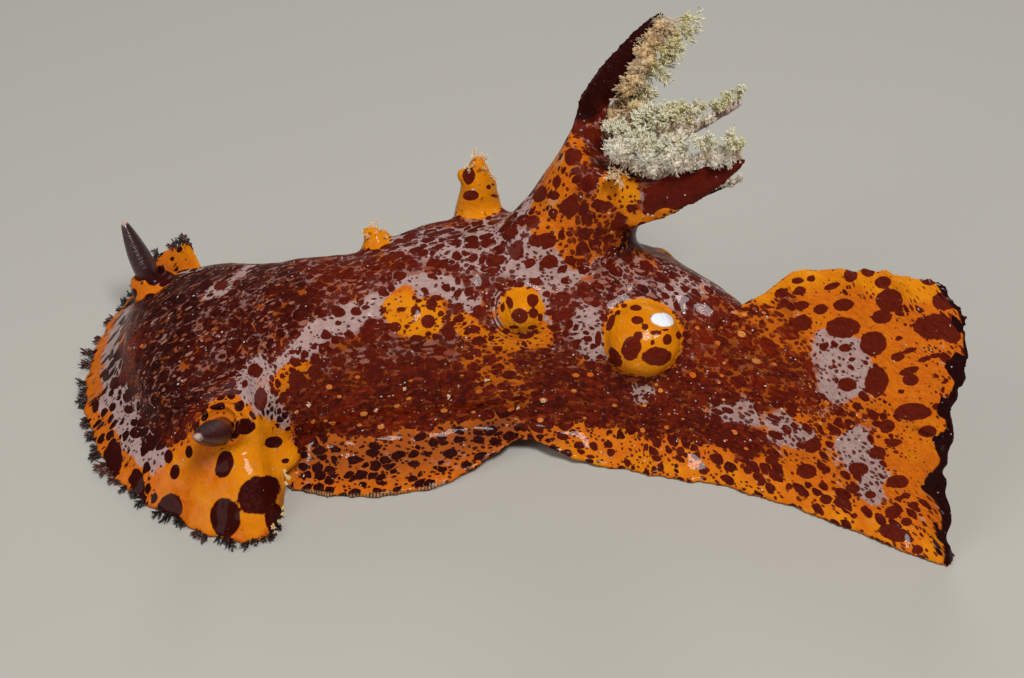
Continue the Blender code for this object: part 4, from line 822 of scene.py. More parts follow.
        (43.2, -13.9, 20.6, 0.4, 0.3, 0), (43.7, -17.4, 15.7, 0.4, 0.3, 0),
        (45.0, -19.0, 14.1, 1.9, 1.0, 0), (46.6, -20.7, 12.7, 0.9, 0.7, 0),
        (42.5, -18.9, 11.7, 0.8, 0.8, 0), (41.7, -20.2, 8.7, 0.9, 0.8, 0),
        (43.3, -20.1, 10.3, 0.5, 0.5, 0), (44.0, -22.4, 6.3, 1.2, 0.8, 0),
        (39.9, -20.3, 6.1, 1.1, 0.8, 0), (39.5, -21.2, 3.8, 0.8, 0.6, 0),
        (38.4, -21.8, 2.1, 0.9, 0.7, 0), (41.3, -22.3, 3.9, 0.6, 0.5, 0),
        (43.7, -24.1, 2.9, 0.8, 0.8, 0), (45.2, -25.1, 2.4, 0.6, 0.5, 0),
        (43.7, -25.8, 1.3, 1.6, 0.9, 20), (46.2, -27.8, 0.8, 0.6, 0.5, 0),
        (42.2, -23.8, 2.1, 0.4, 0.3, 0), (36.7, -21.1, 1.8, 0.7, 0.6, 0),
        (35.0, -17.1, 6.6, 0.9, 0.8, 0), (34.6, -18.3, 3.6, 1.1, 0.9, 0),
        (33.2, -9.9, 19.4, 1.1, 0.9, 0), (37.9, -12.6, 18.0, 0.7, 0.5, 0),
        (38.6, -13.6, 17.1, 0.4, 0.3, 0), (38.2, -15.1, 14.6, 1.0, 0.8, 0),
        (35.6, -12.0, 17.6, 0.5, 0.5, 0), (24.0, -4.8, 18.2, 0.5, 0.5, 0),
        (24.1, -7.0, 17.3, 0.9, 0.8, 0), (30.8, -16.3, 3.4, 0.7, 0.6, 0),
        (28.1, -16.5, 1.9, 0.5, 0.5, 0), (29.2, -17.5, 1.8, 0.6, 0.5, 0),
        (25.7, -13.4, 4.7, 0.8, 0.6, 0), (20.3, -13.9, 2.3, 0.5, 0.6, 0),
        (22.3, -14.4, 2.0, 0.4, 0.6, 0), (27.1, -13.9, 4.6, 0.5, 0.4, 0),
        (32.7, -19.0, 1.7, 0.4, 0.4, 0), (43.9, -20.2, 10.5, 0.3, 0.3, 0),
        (36.6, -19.0, 4.6, 0.5, 0.5, 0), (45.0, -23.4, 5.0, 0.5, 0.4, 0),
        (45.9, -24.2, 4.4, 0.5, 0.4, 0), (44.2, -23.4, 4.5, 0.4, 0.3, 0)),
}
# Reach of a mark along the sight line, past its half width; the sight line's own axes
MARK_DEPTH = 1.7
SIGHT_UP = (0.0, 0.669, 0.743)
SIGHT_BACK = (0.0, -0.743, 0.669)
# White patch of the large globe, given as a mark is: a painted glow in white base colour
PAINTED_GLOW = (17.6, -9.0, 19.2, 1.7, 0.85, 0)


def outside_marks(points, rows):
    """How far outside the nearest oval mark each point is, in shares of the mark's radius."""
    best = np.full(len(points), 3.0)
    for x, y, z, wide, high, lean in rows:
        gap = points - (x, y, z)
        across, down = gap[:, 0], -(gap @ SIGHT_UP)
        cos, sin = math.cos(math.radians(lean)), math.sin(math.radians(lean))
        a = (across * cos + down * sin) / wide
        b = (down * cos - across * sin) / high
        c = gap @ SIGHT_BACK / (MARK_DEPTH + max(wide, high))
        best = np.minimum(best, np.sqrt(a * a + b * b + c * c) - 1.0)
    return best


def gap_to_veil_margin(points):
    """Distance from the points to the margin of the veil."""
    rim, rim_z, _ = veil_margin(np.linspace(0.0, 13.0, 131))
    return stroke_distance(points, head_place(rim[:, 0], rim[:, 1], rim_z))


def gap_to_foot_margin(u, w, z):
    """Distance across the body to the margin of the foot on the points' own side."""
    near = np.hypot(along(FOOT_NEAR, u) + w, np.maximum(0, z - 1.5 - along(FOOT_LIFT, u)))
    far = np.hypot(along(FOOT_FAR, u) - w, np.maximum(0, z - 1.5))
    return np.where(w < 0, near, far)


def pattern_space(u, w, z):
    """Where the pattern is read: u, w and z drawn out along the body, up the stalk and
    outwards over the veil, where heights are flattened."""
    reach = np.hypot(np.minimum(u + 38.0, 0.0), w)
    stretched = np.where(z > 24.0, 24.0 + (z - 24.0) / 1.5, z)
    far_front = ease((w - 2.0) / 6.0)
    flatten = 0.35 + 0.50 * far_front
    stretched = stretched * (1 - flatten * ease((reach - 8.0) / 4.0) * ease((-32.0 - u) / 4.0))
    pull = 1 + ((13.0 + 0.6 * (reach - 13.0)) / np.maximum(reach, 13.0) - 1) * ease(
        (-26.0 - u) / 4.0) * (reach > 13.0)
    ahead = np.where(u < -38.0, -38.0 + (u + 38.0) * pull, u)
    ahead = np.where(ahead < -41.0, -41.0 + (ahead + 41.0) * (1 - 0.4 * far_front), ahead)
    return np.stack((ahead / 1.35, w * pull, stretched), 1)


def colour_plan(points, u, w, facing):
    """Values per point that the skin's material turns into its pattern: a ground state, and
    over it one blend after another, each weighted by its distance from a place or a line."""
    x, y, z = points.T
    wander = ripples(points, 5.0, SEED + 3)
    groove = along(GROOVE_Z, u)
    rim_gap = gap_to_veil_margin(points)
    foot_gap = gap_to_foot_margin(u, w, z)
    # Ground state: dense dark flank and back; then strokes, foot margin and veil in turn
    low_flank = ease((groove + 11.0 - z) / 6.0)
    one = np.ones(len(u))
    plan = np.stack((0.47 + 0.24 * low_flank, 0.61 + 0.14 * low_flank, 0.04 + 0.14 * low_flank,
                     0.55 - 0.5 * low_flank, 0.1 * one, 0.40 + 0.15 * low_flank,
                     0.30 + 0.55 * low_flank), 1)

    def dab(weight, values):
        """Blend the values in by weight."""
        plan[:] += weight[:, None] * (np.array(values) - plan)

    dab(ease((u + 0.8 * wander - 31.0) / 3.0), (0.24, 0.20, 0.0, 0.25, 0.25, 0.35, 0.2))
    for path, radius, values in STROKES:
        gap = stroke_distance(points, path) + 0.9 * wander
        dab(ease((radius * 1.3 - gap) / (radius * 0.6)), values)
    on_foot = ease((groove + 0.8 - z + 0.7 * wander) / 1.4) * ease((u + 37.0) / 4.0)
    front_share = ease((3.0 - u) / 3.0)
    dab(on_foot, (0.36, 0.20, 0.0, 0.12, 0.35, 0.5, 0.0))
    dab(on_foot * ease((3.2 - foot_gap) / 2.0), (0.26, 0.16, 0.0, 0.0, 0.55, 0.5, 0.0))
    dab(on_foot * front_share, (0.36, 0.20, 0.0, 0.25, 0.0, 0.85, 0.05))
    dab(on_foot * ease(1 - np.abs(u - 2.0) / 6.0) * 0.8, (0.44, 0.28, 0.0, 0.15, 0.0, 0.8, 0.0))
    # Lilac belt across the head, orange margin of the veil, and its two raised lobes
    in_front = ease((-26.0 - u) / 2.0)
    belt = in_front * ease((8.2 - rim_gap + 1.6 * wander) / 1.8)
    margin = in_front * ease((3.6 - rim_gap + 0.8 * wander) / 1.4)
    dab(belt, (0.40, 0.14, 0.0, 0.90, 0.05, 0.95, 0.0))
    dab(margin, (0.22, 0.10, 0.0, 0.0, 0.25, 0.95, 0.0))
    left_lobe = stroke_distance(points, ((-30, -20, 5.5), (-36, -21, 4.0)))
    left_lobe = ease((7.6 - left_lobe + wander) / 2.4)
    dab(left_lobe * ease((-14.5 - y) / 2.0), (0.0, 0.0, 0.0, 0.0, 0.45, 0.9, 0.0))
    dab(left_lobe * ease((x + 35.0) / 5.0) * (w < 0), (0.0, 0.0, 0.0, 0.0, 1.0, 0.9, 0.0))
    right_lobe = stroke_distance(points, ((-43, 15.5, 9.5), (-40, 13.5, 12.0)))
    dab(ease((4.2 - right_lobe) / 1.6), (0.12, 0.04, 0.0, 0.0, 0.5, 0.9, 0.0))
    for side in RHINOPHORES:
        gap = np.linalg.norm(points - np.array(RHINOPHORES[side][0]) - (0, 0, 1.0), axis=1)
        dab(ease((3.9 - gap) / 1.0), (0.16, 0.06, 0.0, 0.0, 0.4, 0.9, 0.0))
    for (base, axis, radius, height), share in zip(GLOBES[1:], (0.0, 0.0, 0.3)):
        gap = np.linalg.norm(points - globe_middle(base, axis, height), axis=1)
        dab(ease((radius * 1.12 - gap) / (radius * 0.15)), (share, 0.0, 0.0, 0.0, 0.95, 0.3, 0.0))
    for base, axis, radius, height in LOBES:
        tip = np.array(base) + np.array(axis) * height
        gap = stroke_distance(points, (np.array(base) + (0, 0, 0.2 * height + 1.6), tip))
        dab(ease((radius * 1.15 - gap + 0.3 * wander) / 0.8), (0.03, 0.02, 0.0, 0.0, 0.9, 0.4, 0.0))
    # Leaf stems: near-black or maroon outer faces on the first three, pale ones on the others
    for name, stem in GILL_STEMS.items():
        gap = stroke_distance(points, bezier(stem, np.linspace(0.12, 1, 14)))
        beyond = ease((x - 14.8 + 0.8 * wander) / 1.5)
        if name == "gill_2":
            beyond = beyond * ease((z - 30.6 + 0.7 * wander) / 0.8)
        above = np.minimum(ease((z - 35.8 + 2.4 * wander) / 1.6) + beyond, 1.0)
        values = (0.0, 0.05, 0.0, 1.0, 0.0, 0.3, 0.0)
        if name in GILL_BLACK:
            values = (2.5, 0.0, 2.5, 0.0, 0.2, GILL_BLACK[name], 0.0)
        dab(ease((0.5 * GILL_SIZES[name][0] + 1.0 - gap) / 0.8) * above, values)
    sole = ease((-facing[:, 2] - 0.6) / 0.3) * ease((1.6 - z) / 0.8)
    dab(sole, (0.0, 0.0, 0.0, 0.4, 0.2, 0.3, 0.0))
    # Distances that draw single features: rear band, striped edge, rings, marks; then painted shade
    # on the near foot
    values = dict(zip(PLAN, plan.T))
    values["band"] = (TAIL_TIP - u) + 6.0 * ease((40.0 - u) / 4.0) + 3.0 * sole
    striped = (on_foot > 0.5) & (w < 0) & (u < -8.0) & (u > -30.0)
    values["rim"] = np.where(striped, foot_gap, 9.0)
    centre = np.array(GLOBES[1][0]) + unit(np.array(GLOBES[1][1])) * 1.6
    values["ring"] = np.linalg.norm(points - centre, axis=1) + 6.0 * ease(
        (x - centre[0] + 0.5 * (z - centre[2]) + 1.5) / 1.5)
    values["blotch"] = outside_marks(points, [row for group in MARKS.values() for row in group])
    # Painted glow: white patch of the large globe
    values["painted_glow"] = outside_marks(points, (PAINTED_GLOW,))
    # Painted shade: the near foot darkened inward from its front edge, under the flank, and over
    # the arch
    arch = ease(1 - np.abs(u - 0.5) / 9.0)
    inner = 0.62 * front_share * ease((foot_gap - 0.6) / 4.0)
    values["painted_foot_shade"] = on_foot * (w < 0) * (inner + 0.5 * arch)
    values["pattern"] = pattern_space(u, w, z)
    return values


def softness(points, facing, u, w):
    """How far each point is smoothed, 0 to 1: the head's front into the veil, the flanks into
    the foot, the crest into the tail, the stalk's root and top, and the necks of the globes."""
    z = points[:, 2]
    forward, sideways = head_coordinates(points)
    front = ease((20.0 - np.abs(sideways)) / 4) * ease((facing[:, 2] + 0.1) / 0.3)
    front = front * ease((forward - 1.0) / 3.0) * ease((12.6 - forward) / 1.5)
    front = front * ease((z - 1.5) / 1.0)
    for side in RHINOPHORES:
        gap = np.linalg.norm(points - np.array(RHINOPHORES[side][0]), axis=1)
        front = front * ease((gap - 3.4) / 1.5)
    flank = np.exp(-((z - along(GROOVE_Z, u) - 0.4) / 1.3) ** 2)
    flank = flank * ease((u + 24) / 4) * ease((44 - u) / 6)
    seam = np.exp(-((z - along(CROWN_Z, u) + 2.6) / 1.6) ** 2)
    seam = seam * ease((u - 23.0) / 2.0) * ease((49.5 - u) / 1.0) * (w < 3.5)
    gap = np.linalg.norm((points - np.array(STALK_AXIS[-1])) * (0.8, 0.8, 1.0), axis=1)
    top = ease((6.8 - gap) / 2.0) * ease((z - 29.0) / 1.5)
    root = np.exp(-((z - 22.0) / 2.6) ** 2) * ease((14.0 - np.abs(points[:, 0] - 5.0)) / 4.0)
    root = root * ease((10.0 - np.abs(w)) / 2.0)
    weight = front + 0.8 * flank + seam + top + 0.9 * root
    for base, axis, radius, height in GLOBES:
        gap = np.linalg.norm(points - globe_middle(base, axis, height), axis=1)
        weight = weight + 0.7 * np.exp(-((gap - radius * 1.15) / 0.6) ** 2)
    return np.clip(weight, 0, 1)


def relief(points, facing, u, w):
    """Low swellings, the upright crease over the arch, and waves down the tail's rear margin,
    a sum of two sines of the height."""
    z = points[:, 2]
    raised = 0.10 * ripples(points, 6.0, SEED) + 0.05 * ripples(points, 2.2, SEED + 1) - 0.12
    crease = np.exp(-((u - 0.8 - 0.15 * (z - 6)) / 0.45) ** 2) * ease((9.5 - z) / 3.0)
    raised = raised - 0.5 * crease * ease((-w - 4.0) / 3.0) * ease((z - 1.5) / 1.5)
    raised = raised * ease(z / 1.2)
    wave = -0.02 - 0.26 * np.sin(0.9 * z + 0.5) - 0.16 * np.sin(2.3 * z + 1.4 * np.sin(0.7 * z))
    wave = wave * ease((u - 46.0) / 3.5)
    turn = math.radians(TURN[-1][1])
    rearward = np.array((math.cos(turn), math.sin(turn), 0.0))
    points = points + facing * raised[:, None] + wave[:, None] * rearward
    points[:, 2] = np.maximum(points[:, 2], 0.02)
    return points


def skin():
    """Body, foot, veil, papillae, stalk and leaf stems as one skin without seams."""
    parts = [upper_body(), foot(), crest(), veil(), stalk(), muzzle()]
    parts += [blade(name) for name in GILL_STEMS]
    parts += [globe(*row) for row in GLOBES] + [lobe(*row) for row in LOBES]
    parts += [sheath(side) for side in RHINOPHORES] + [near_corner()]
    points, quads = largest(*fused(parts, SKIN_VOXEL))
    points = smoothed(points, quads, 5, (0.52, -0.50))
    u, w = body_coordinates(points)
    weight = softness(points, outward_normals(points, quads), u, w)
    points = smoothed(points, quads, 60, (0.5,), weight[:, None])
    facing = outward_normals(points, quads)
    u, w = body_coordinates(points)
    points = relief(points, facing, u, w)
    values = colour_plan(points, u, w, facing)
    flesh = ["head", "trunk_front", "trunk_rear", "tail", "tail_crest", "foot_front",
             "foot_middle", "foot_rear", "oral_veil_left", "oral_veil_front",
             "oral_veil_right", "mouth", "oral_tentacle_left", "oral_tentacle_right",
             "sheath_left", "sheath_right", "gill_stalk"]
    flesh += ["papilla_%s_%d" % (side, i) for side in RHINOPHORES for i in (1, 2, 3)]
    surface = (points, quads, np.zeros((0, 3), int))
    return finished("skin", surface, skin_finish(), values, flesh)


# Branching forms: a set of branches is start, middle and end points with widths and tones

class Branches:
    """Many quadratic curves at once; arrays share their first axis."""

    def __init__(self, start, middle, end, radius, tone):
        self.start, self.middle, self.end = start, middle, end
        self.radius, self.tone = radius, tone

    def at(self, t):
        """Points on the curves at shares t of their length."""
        t = t[..., None]
        return self.start * (1 - t) ** 2 + 2 * self.middle * t * (1 - t) + self.end * t * t

    def heading(self, t):
        """Unit tangents at shares t."""
        t = t[..., None]
        return unit((self.middle - self.start) * (1 - t) + (self.end - self.middle) * t)

    def length(self):
        """Distance from start to end."""
        return np.linalg.norm(self.end - self.start, axis=-1)


def some(branches, chosen):
    """The chosen ones of the branches."""
    keys = ("start", "middle", "end", "radius", "tone")
    return Branches(*(getattr(branches, key)[chosen] for key in keys))


def offshoots(rng, parents, count, first, share, spread, radius, tone):
    """Branches that leave each parent at even steps, on all sides, shorter towards its tip."""
    number = len(parents.radius)
    pick = np.repeat(np.arange(number), count)
    step = np.tile((np.arange(count) + 0.5) / count, number)
    t = first + (1 - first) * step
    parent = some(parents, pick)
    root = parent.at(t)
    ahead = parent.heading(t)
    side = unit(np.cross(ahead, rng.normal(size=ahead.shape)))
    way = unit(side * spread + ahead * (1.0 - 0.35 * spread))
    long = parent.length() * share * (0.40 + 0.75 * np.sin(math.pi * (0.1 + 0.75 * t)))
    long = long * rng.uniform(0.75, 1.25, len(t))
    middle = root + way * (0.55 * long)[:, None]
    end = root + (way * 0.85 + ahead * 0.35) * long[:, None]
    fresh = np.clip(tone + 0.25 * (t - 0.5), 0, 1)
    return Branches(root, middle, end, np.full(len(t), radius), fresh)


def branch_surface(branches, rings, sides, swell=0.0, taper=0.45, egg=False):
    """Tubes along the branches, so many rings along and sides around, and each point's tone:
    the radius falls by taper, swells near the tip and rounds off, or else is that of an egg."""
    t = np.linspace(0.0, 1.0, rings)
    centre = np.stack([branches.at(np.full(len(branches.radius), s)) for s in t], 1)
    ahead = np.stack([branches.heading(np.full(len(branches.radius), s)) for s in t], 1)
    first = unit(np.cross(ahead, np.array((0.31, 0.62, 0.72))))
    second = np.cross(ahead, first)
    size = 1 - taper * t + swell * np.exp(-((t - 0.8) / 0.18) ** 2)
    size = size * np.where(t > 0.97, 0.55, 1.0)
    if egg:
        size = np.sqrt(1.03 - (2 * t - 1) ** 2)
    size = branches.radius[:, None] * size
    angle = np.linspace(0, 2 * math.pi, sides, endpoint=False)
    ring = first[:, :, None] * np.cos(angle)[:, None] + second[:, :, None] * np.sin(angle)[:, None]
    surface = shells(centre[:, :, None] + ring * size[:, :, None, None])
    tone = np.repeat(branches.tone, rings * sides + 2)
    return surface, tone


def grown(parts):
    """Several branch surfaces as one, and the tone of each of its points."""
    return joined([part[0] for part in parts]), np.concatenate([part[1] for part in parts])


def tufts(rng, mains, size):
    """Rounded lobes heaped around each plume's end, and fine rays through them to a rough egg."""
    number = len(mains.radius)
    ahead = mains.heading(np.ones(number))

    def ways(each):
        """Directions around every plume's end, leaning ahead, with the number of the plume."""
        pick = np.repeat(np.arange(number), each)
        way = unit(rng.normal(size=(len(pick), 3)) + 0.35 * ahead[pick])
        return pick, way + 0.40 * ahead[pick] * (way * ahead[pick]).sum(1)[:, None]

    pick, way = ways(TUFT_LOBES)
    middle = mains.end[pick] + way * (0.42 * size[pick])[:, None]
    half = way * (0.38 * size[pick])[:, None]
    tone = np.full(len(pick), 0.38)
    lobes = Branches(middle - half, middle, middle + half, 0.35 * size[pick], tone)
    pick, way = ways(TUFT_RAYS)
    start = mains.end[pick] + way * (0.45 * size[pick])[:, None]
    end = mains.end[pick] + way * (size[pick] * rng.uniform(0.74, 0.98, len(pick)))[:, None]
    middle = 0.5 * (start + end) + 0.08 * ahead[pick] * size[pick][:, None]
    rays = Branches(start, middle, end, np.full(len(pick), 0.060), np.full(len(pick), 0.5))
    return lobes, rays


def plume_stems(rng, name):
    """Main stems of a leaf's plumes: roots between the blade's middle line and upper edge,
    rising and leaning out, open plumes further than full ones. Also which ones are open,
    the size of each tuft, the side that it leans to, and the leaf's own line."""
    wide, thick, count, reach, drift, tuft = GILL_SIZES[name]
    last = name == "gill_5"
    first = 0.26 if last else 0.08
    at = first + (1 - first) * (np.arange(count) + 0.5) / count
    line = bezier(GILL_STEMS[name], at)
    ahead = unit(bezier(GILL_STEMS[name], at + 0.01) - bezier(GILL_STEMS[name], at - 0.01))
    flank = unit(np.cross(ahead, leaf_frame(name)[0]))
    rise = np.cross(flank, ahead)
    open_ones = np.arange(count) % GILL_OPEN[name] == GILL_OPEN[name] - 1
    near_side = np.where(flank[:, 1] < 0, 1.0, -1.0)
    face = np.where(rng.uniform(size=count) < 0.68, near_side, -near_side)
    lean = np.where(open_ones, rng.uniform(0.0, 0.4, count), rng.uniform(0.25, 0.75, count))
    side = face * lean + drift
    climb = rng.uniform(0.7, 1.0, count)
    if last:
        climb = np.where(open_ones, climb, -0.35 * climb)
    way = rise * climb[:, None] + ahead * rng.uniform(0.10, 0.45, (count, 1))
    way = unit(way + flank * side[:, None])
    long = reach * np.where(open_ones, rng.uniform(0.62, 0.85, count) * (1 - 0.35 * at),
                            rng.uniform(0.16, 0.46, count) * (1 - 0.75 * at * at))
    offset = np.clip(GILL_CLIMB[name] - 0.55 * at + rng.uniform(-0.35, 0.25, count), -0.4, 1.35)
    root = line + rise * (half_width(wide, at) * offset)[:, None]
    root = root + flank * (face * 0.3 * thick)[:, None]
    size = tuft * (1 - 0.40 * at) * rng.uniform(0.82, 1.18, count)
    if last:
        start, stop, upward = COLLAR
        step = rng.permutation(COLLAR_COUNT)[:, None] / (COLLAR_COUNT - 1)
        root = np.concatenate((root, start * (1 - step) + stop * step))
        stray = unit(upward + rng.normal(size=(COLLAR_COUNT, 3)) * 0.15)
        way = np.concatenate((way, stray))
        ahead = np.concatenate((ahead, stray))
        long = np.concatenate((long, rng.uniform(2.0, 4.2, COLLAR_COUNT)))
        size = np.concatenate((size, rng.uniform(1.1, 1.5, COLLAR_COUNT)))
        open_ones = np.concatenate((open_ones, np.zeros(COLLAR_COUNT, bool)))
    end = root + (way + 0.15 * ahead) * long[:, None]
    end[:, 2] = np.minimum(end[:, 2], PLUME_CEILING - 1.22 * size)
    middle = 0.5 * (root + end) + way * (0.08 * long)[:, None]
    main = Branches(root, middle, end, np.where(open_ones, 0.14, 0.18), np.full(len(long), 0.1))
    return main, open_ones, size, face, line


def gill_plumes(name, number):
    """Plumes of a gill leaf: full soft tufts near it, open clusters on pale stems further out."""
    rng = np.random.default_rng(SEED + 10 + number)
    count, reach = GILL_SIZES[name][2:4]
    main, open_ones, size, face, line = plume_stems(rng, name)
    lumps, rays = tufts(rng, some(main, ~open_ones), size[~open_ones])
    twigs = offshoots(rng, rays, 3, first=0.30, share=0.60, spread=0.95, radius=0.052, tone=0.75)
    parts = [branch_surface(main, 6, 6), branch_surface(lumps, 6, 7, egg=True),
             branch_surface(rays, 3, 3), branch_surface(twigs, 3, 3, swell=0.7, taper=0.1)]
    full = sum(len(part[1]) for part in parts)
    loose = some(main, open_ones)
    second = offshoots(rng, loose, 9, first=0.30, share=0.46, spread=0.85, radius=0.085, tone=0.3)
    third = offshoots(rng, second, 6, first=0.30, share=0.42, spread=0.9, radius=0.060, tone=0.7)
    beads = offshoots(rng, third, 3, first=0.50, share=0.55, spread=0.9, radius=0.080, tone=0.95)
    parts += [branch_surface(second, 4, 4), branch_surface(third, 3, 3),
              branch_surface(beads, 3, 4, swell=0.7, taper=0.0)]
    surface, tone = grown(parts)
    out = np.linalg.norm(surface[0][:, None] - line[None, ::3], axis=2).min(1) / reach
    values = {"tone": tone, "outward": np.clip(out, 0, 1),
              "green": np.where(np.arange(len(tone)) < full, GILL_GREEN[name], 0.95),
              "warm": np.full(len(tone), GILL_WARM[name])}
    thing = finished(name, surface, gill_finish(), values, [name])
    order = np.arange(len(size))
    spread = np.where(order < count, 0.5 + 0.4 * np.resize(face, len(size)), 0.5)
    spots = np.stack((0.02 + 0.96 * order / len(size), spread), 1)
    patches(thing, surface[0], main.end, size * 1.2, spots)
    return thing


def veil_fringe():
    """Short branched papillae along the margin of the veil, dark and crowded in tufts."""
    rng = np.random.default_rng(SEED + 20)
    clumps = 27
    twigs_each = 12
    k = np.linspace(0.3, 12.8, clumps) + rng.uniform(-0.12, 0.12, clumps)
    k = np.repeat(k, 3) + np.tile((-0.10, 0.0, 0.10), clumps)
    rim, rim_z, root = veil_margin(k)
    inward = unit(root - rim)
    flat = head_place(rim[:, 0] + inward[:, 0] * 0.8, rim[:, 1] + inward[:, 1] * 0.8, rim_z)
    out = unit(head_place(rim[:, 0], rim[:, 1], rim_z) - flat)
    flat[:, 2] = np.maximum(flat[:, 2] - 0.25, 0.42)
    side = np.cross(out, (0, 0, 1.0))
    way = unit(out + side * rng.uniform(-0.5, 0.5, (len(k), 1)) + (0, 0, 0.06))
    long = rng.uniform(0.95, 1.75, len(k)) * np.where(k < 1.3, 0.45, 1.0)
    middle = flat + way * (0.5 * long)[:, None]
    end = flat + way * long[:, None] + np.array((0, 0, 0.1))
    pale = np.where(k < 1.3, 1.0, 0.0)
    main = Branches(flat, middle, end, np.full(len(k), 0.26), pale)
    twigs = offshoots(rng, main, twigs_each, first=0.25, share=0.48, spread=0.9, radius=0.11,
                      tone=0.0)
    twigs.tone = np.repeat(pale, twigs_each)
    for height in (twigs.start, twigs.middle, twigs.end):
        height[:, 2] = np.maximum(height[:, 2], 0.24)
    surface, tone = grown([branch_surface(main, 5, 6, taper=0.5),
                           branch_surface(twigs, 4, 5, swell=0.3)])
    veils = ["oral_veil_left", "oral_veil_front", "oral_veil_right"]
    thing = finished("veil_fringe", surface, fringe_finish(), {"tone": tone}, veils)
    patches(thing, surface[0], end, long, np.stack((0.02 + 0.96 * k / 13.0, 0.5 + 0 * k), 1))
    return thing


# Pale star-shaped tubercles low on the near flank, and two at the corner of the near lobe
TUBERCLES = ((-2.9, -9.3, 9.8), (0.9, -8.8, 4.7), (-16.3, -11.3, 6.9), (-24.0, -12.8, 9.3),
             (-7.6, -10.0, 7.9), (-12.7, -10.4, 9.4), (3.8, -9.5, 6.7),
             (-27.6, -24.6, 0.9), (-27.4, -24.9, 0.7))


def papilla_buds():
    """Fine pale buds on the far papillae and tubercles, and a small tuft at the gill's foot."""
    rng = np.random.default_rng(SEED + 30)
    roots, ways, sizes = [], [], []
    for (base, axis, radius, height), count in zip(LOBES, (9, 26)):
        axis = unit(np.array(axis, float))
        t = rng.uniform(0.45, 1.0, count)
        turn = rng.uniform(0, 2 * math.pi, count)
        out = np.stack((np.cos(turn), np.sin(turn), 0.5 + 0 * turn), 1)
        reach = radius * (0.95 - 0.85 * t)
        roots.append(base + axis * (t * height)[:, None] + out * reach[:, None])
        ways.append(out + axis * 0.6)
        sizes.append(rng.uniform(0.45, 0.95, count))
    in_tuft = 22
    in_tubercle = 5
    tuft = rng.normal(size=(in_tuft, 3)) * 0.35 + (11.7, -1.9, 34.3)
    roots.append(tuft)
    ways.append(unit(tuft - (12.2, 0.0, 33.0)))
    sizes.append(rng.uniform(0.8, 1.3, in_tuft))
    for spot in TUBERCLES:
        roots.append(np.array(spot) + rng.normal(size=(in_tubercle, 3)) * 0.12)
        ways.append(rng.normal(size=(in_tubercle, 3)) * 0.6 + (0.0, -0.9, 0.5))
        sizes.append(rng.uniform(0.10, 0.30, in_tubercle))
    root, way, long = np.concatenate(roots), unit(np.concatenate(ways)), np.concatenate(sizes)
    root = root - way * 0.25
    middle = root + way * (0.5 * long)[:, None]
    end = root + way * (long + 0.25)[:, None]
    main = Branches(root, middle, end, np.full(len(root), 0.13), np.full(len(root), 0.2))
    twigs = offshoots(rng, main, 6, first=0.35, share=0.45, spread=0.9, radius=0.06, tone=0.8)
    surface, tone = grown([branch_surface(main, 5, 6, taper=0.5),
                           branch_surface(twigs, 3, 4, swell=0.3)])
    nodes = ["papilla_right_1", "papilla_right_2"]
    thing = finished("papilla_buds", surface, bud_finish(), {"tone": tone}, nodes)
    row = 0.02 + 0.96 * np.arange(len(end)) / len(end)
    patches(thing, surface[0], end, long + 0.3, np.stack((row, 0.5 + 0 * row), 1))
    return thing


def rhinophore(side):
    """Tapered horn with fine leaves around it, a saw-tooth of its length on the radius."""
    leaf_count = 34
    sides = 32
    base, tip = np.array(RHINOPHORES[side])
    t = np.linspace(-0.05, 1.0, 170)
    places = (-0.05, 0.16, 0.34, 0.52, 0.70, 0.86, 0.96, 1.0)
    radii = (1.4, 1.6, 1.8, 1.7, 1.38, 0.95, 0.55, 0.12)
    size = along(tuple(zip(places, radii)), t)
    leaves = ease((t - 0.30) / 0.1) * ease((0.95 - t) / 0.1)
    size = size * (1 - 0.025 * leaves * (1 - np.mod(t * leaf_count, 1.0)))
    sag = np.array((0.0, 0.0, -0.5)) * (4 * t * (1 - t))[:, None]
    line = base + (tip - base) * t[:, None] + sag
    rings = tube(line, size, size * 0.8, sides, np.array((0.2, 0.3, 0.9)))
    surface = shells(rings[None])
    tone = np.concatenate((np.repeat(t, sides), (0.0, 1.0)))
    return finished("rhinophore_" + side, surface, rhinophore_finish(), {"tone": tone},
                    ["rhinophore_" + side])


# Shader maths

class Wire:
    """One socket of a material; arithmetic on it adds Math nodes."""

    def __init__(self, recipe, socket):
        self.recipe, self.socket = recipe, socket

    def maths(self, operation, *values):
        """A Math node of this operation, on this value alone if no others are given."""
        inputs = dict(enumerate(values or (self,)))
        node = self.recipe.add("ShaderNodeMath", {"operation": operation}, inputs)
        return Wire(self.recipe, node.outputs[0])

    def __add__(self, other):
        return self.maths("ADD", self, other)

    def __sub__(self, other):
        return self.maths("SUBTRACT", self, other)

    def __rsub__(self, other):
        return self.maths("SUBTRACT", other, self)

    def __mul__(self, other):
        return self.maths("MULTIPLY", self, other)

    def __truediv__(self, other):
        return self.maths("DIVIDE", self, other)

    __radd__ = __add__
    __rmul__ = __mul__

    def most(self, other):
        """The larger of the two."""
        return self.maths("MAXIMUM", self, other)

    def sine(self):
        """Sine of the value."""
        return self.maths("SINE")

    def between(self, low, high):
        """0 below low, 1 above high (or the other way round), eased in between."""
        if low > high:
            return 1.0 - self.between(high, low)
        node = self.recipe.add("ShaderNodeMapRange", {"interpolation_type": "SMOOTHSTEP"},
                               {0: self, 1: low, 2: high})
        return Wire(self.recipe, node.outputs[0])


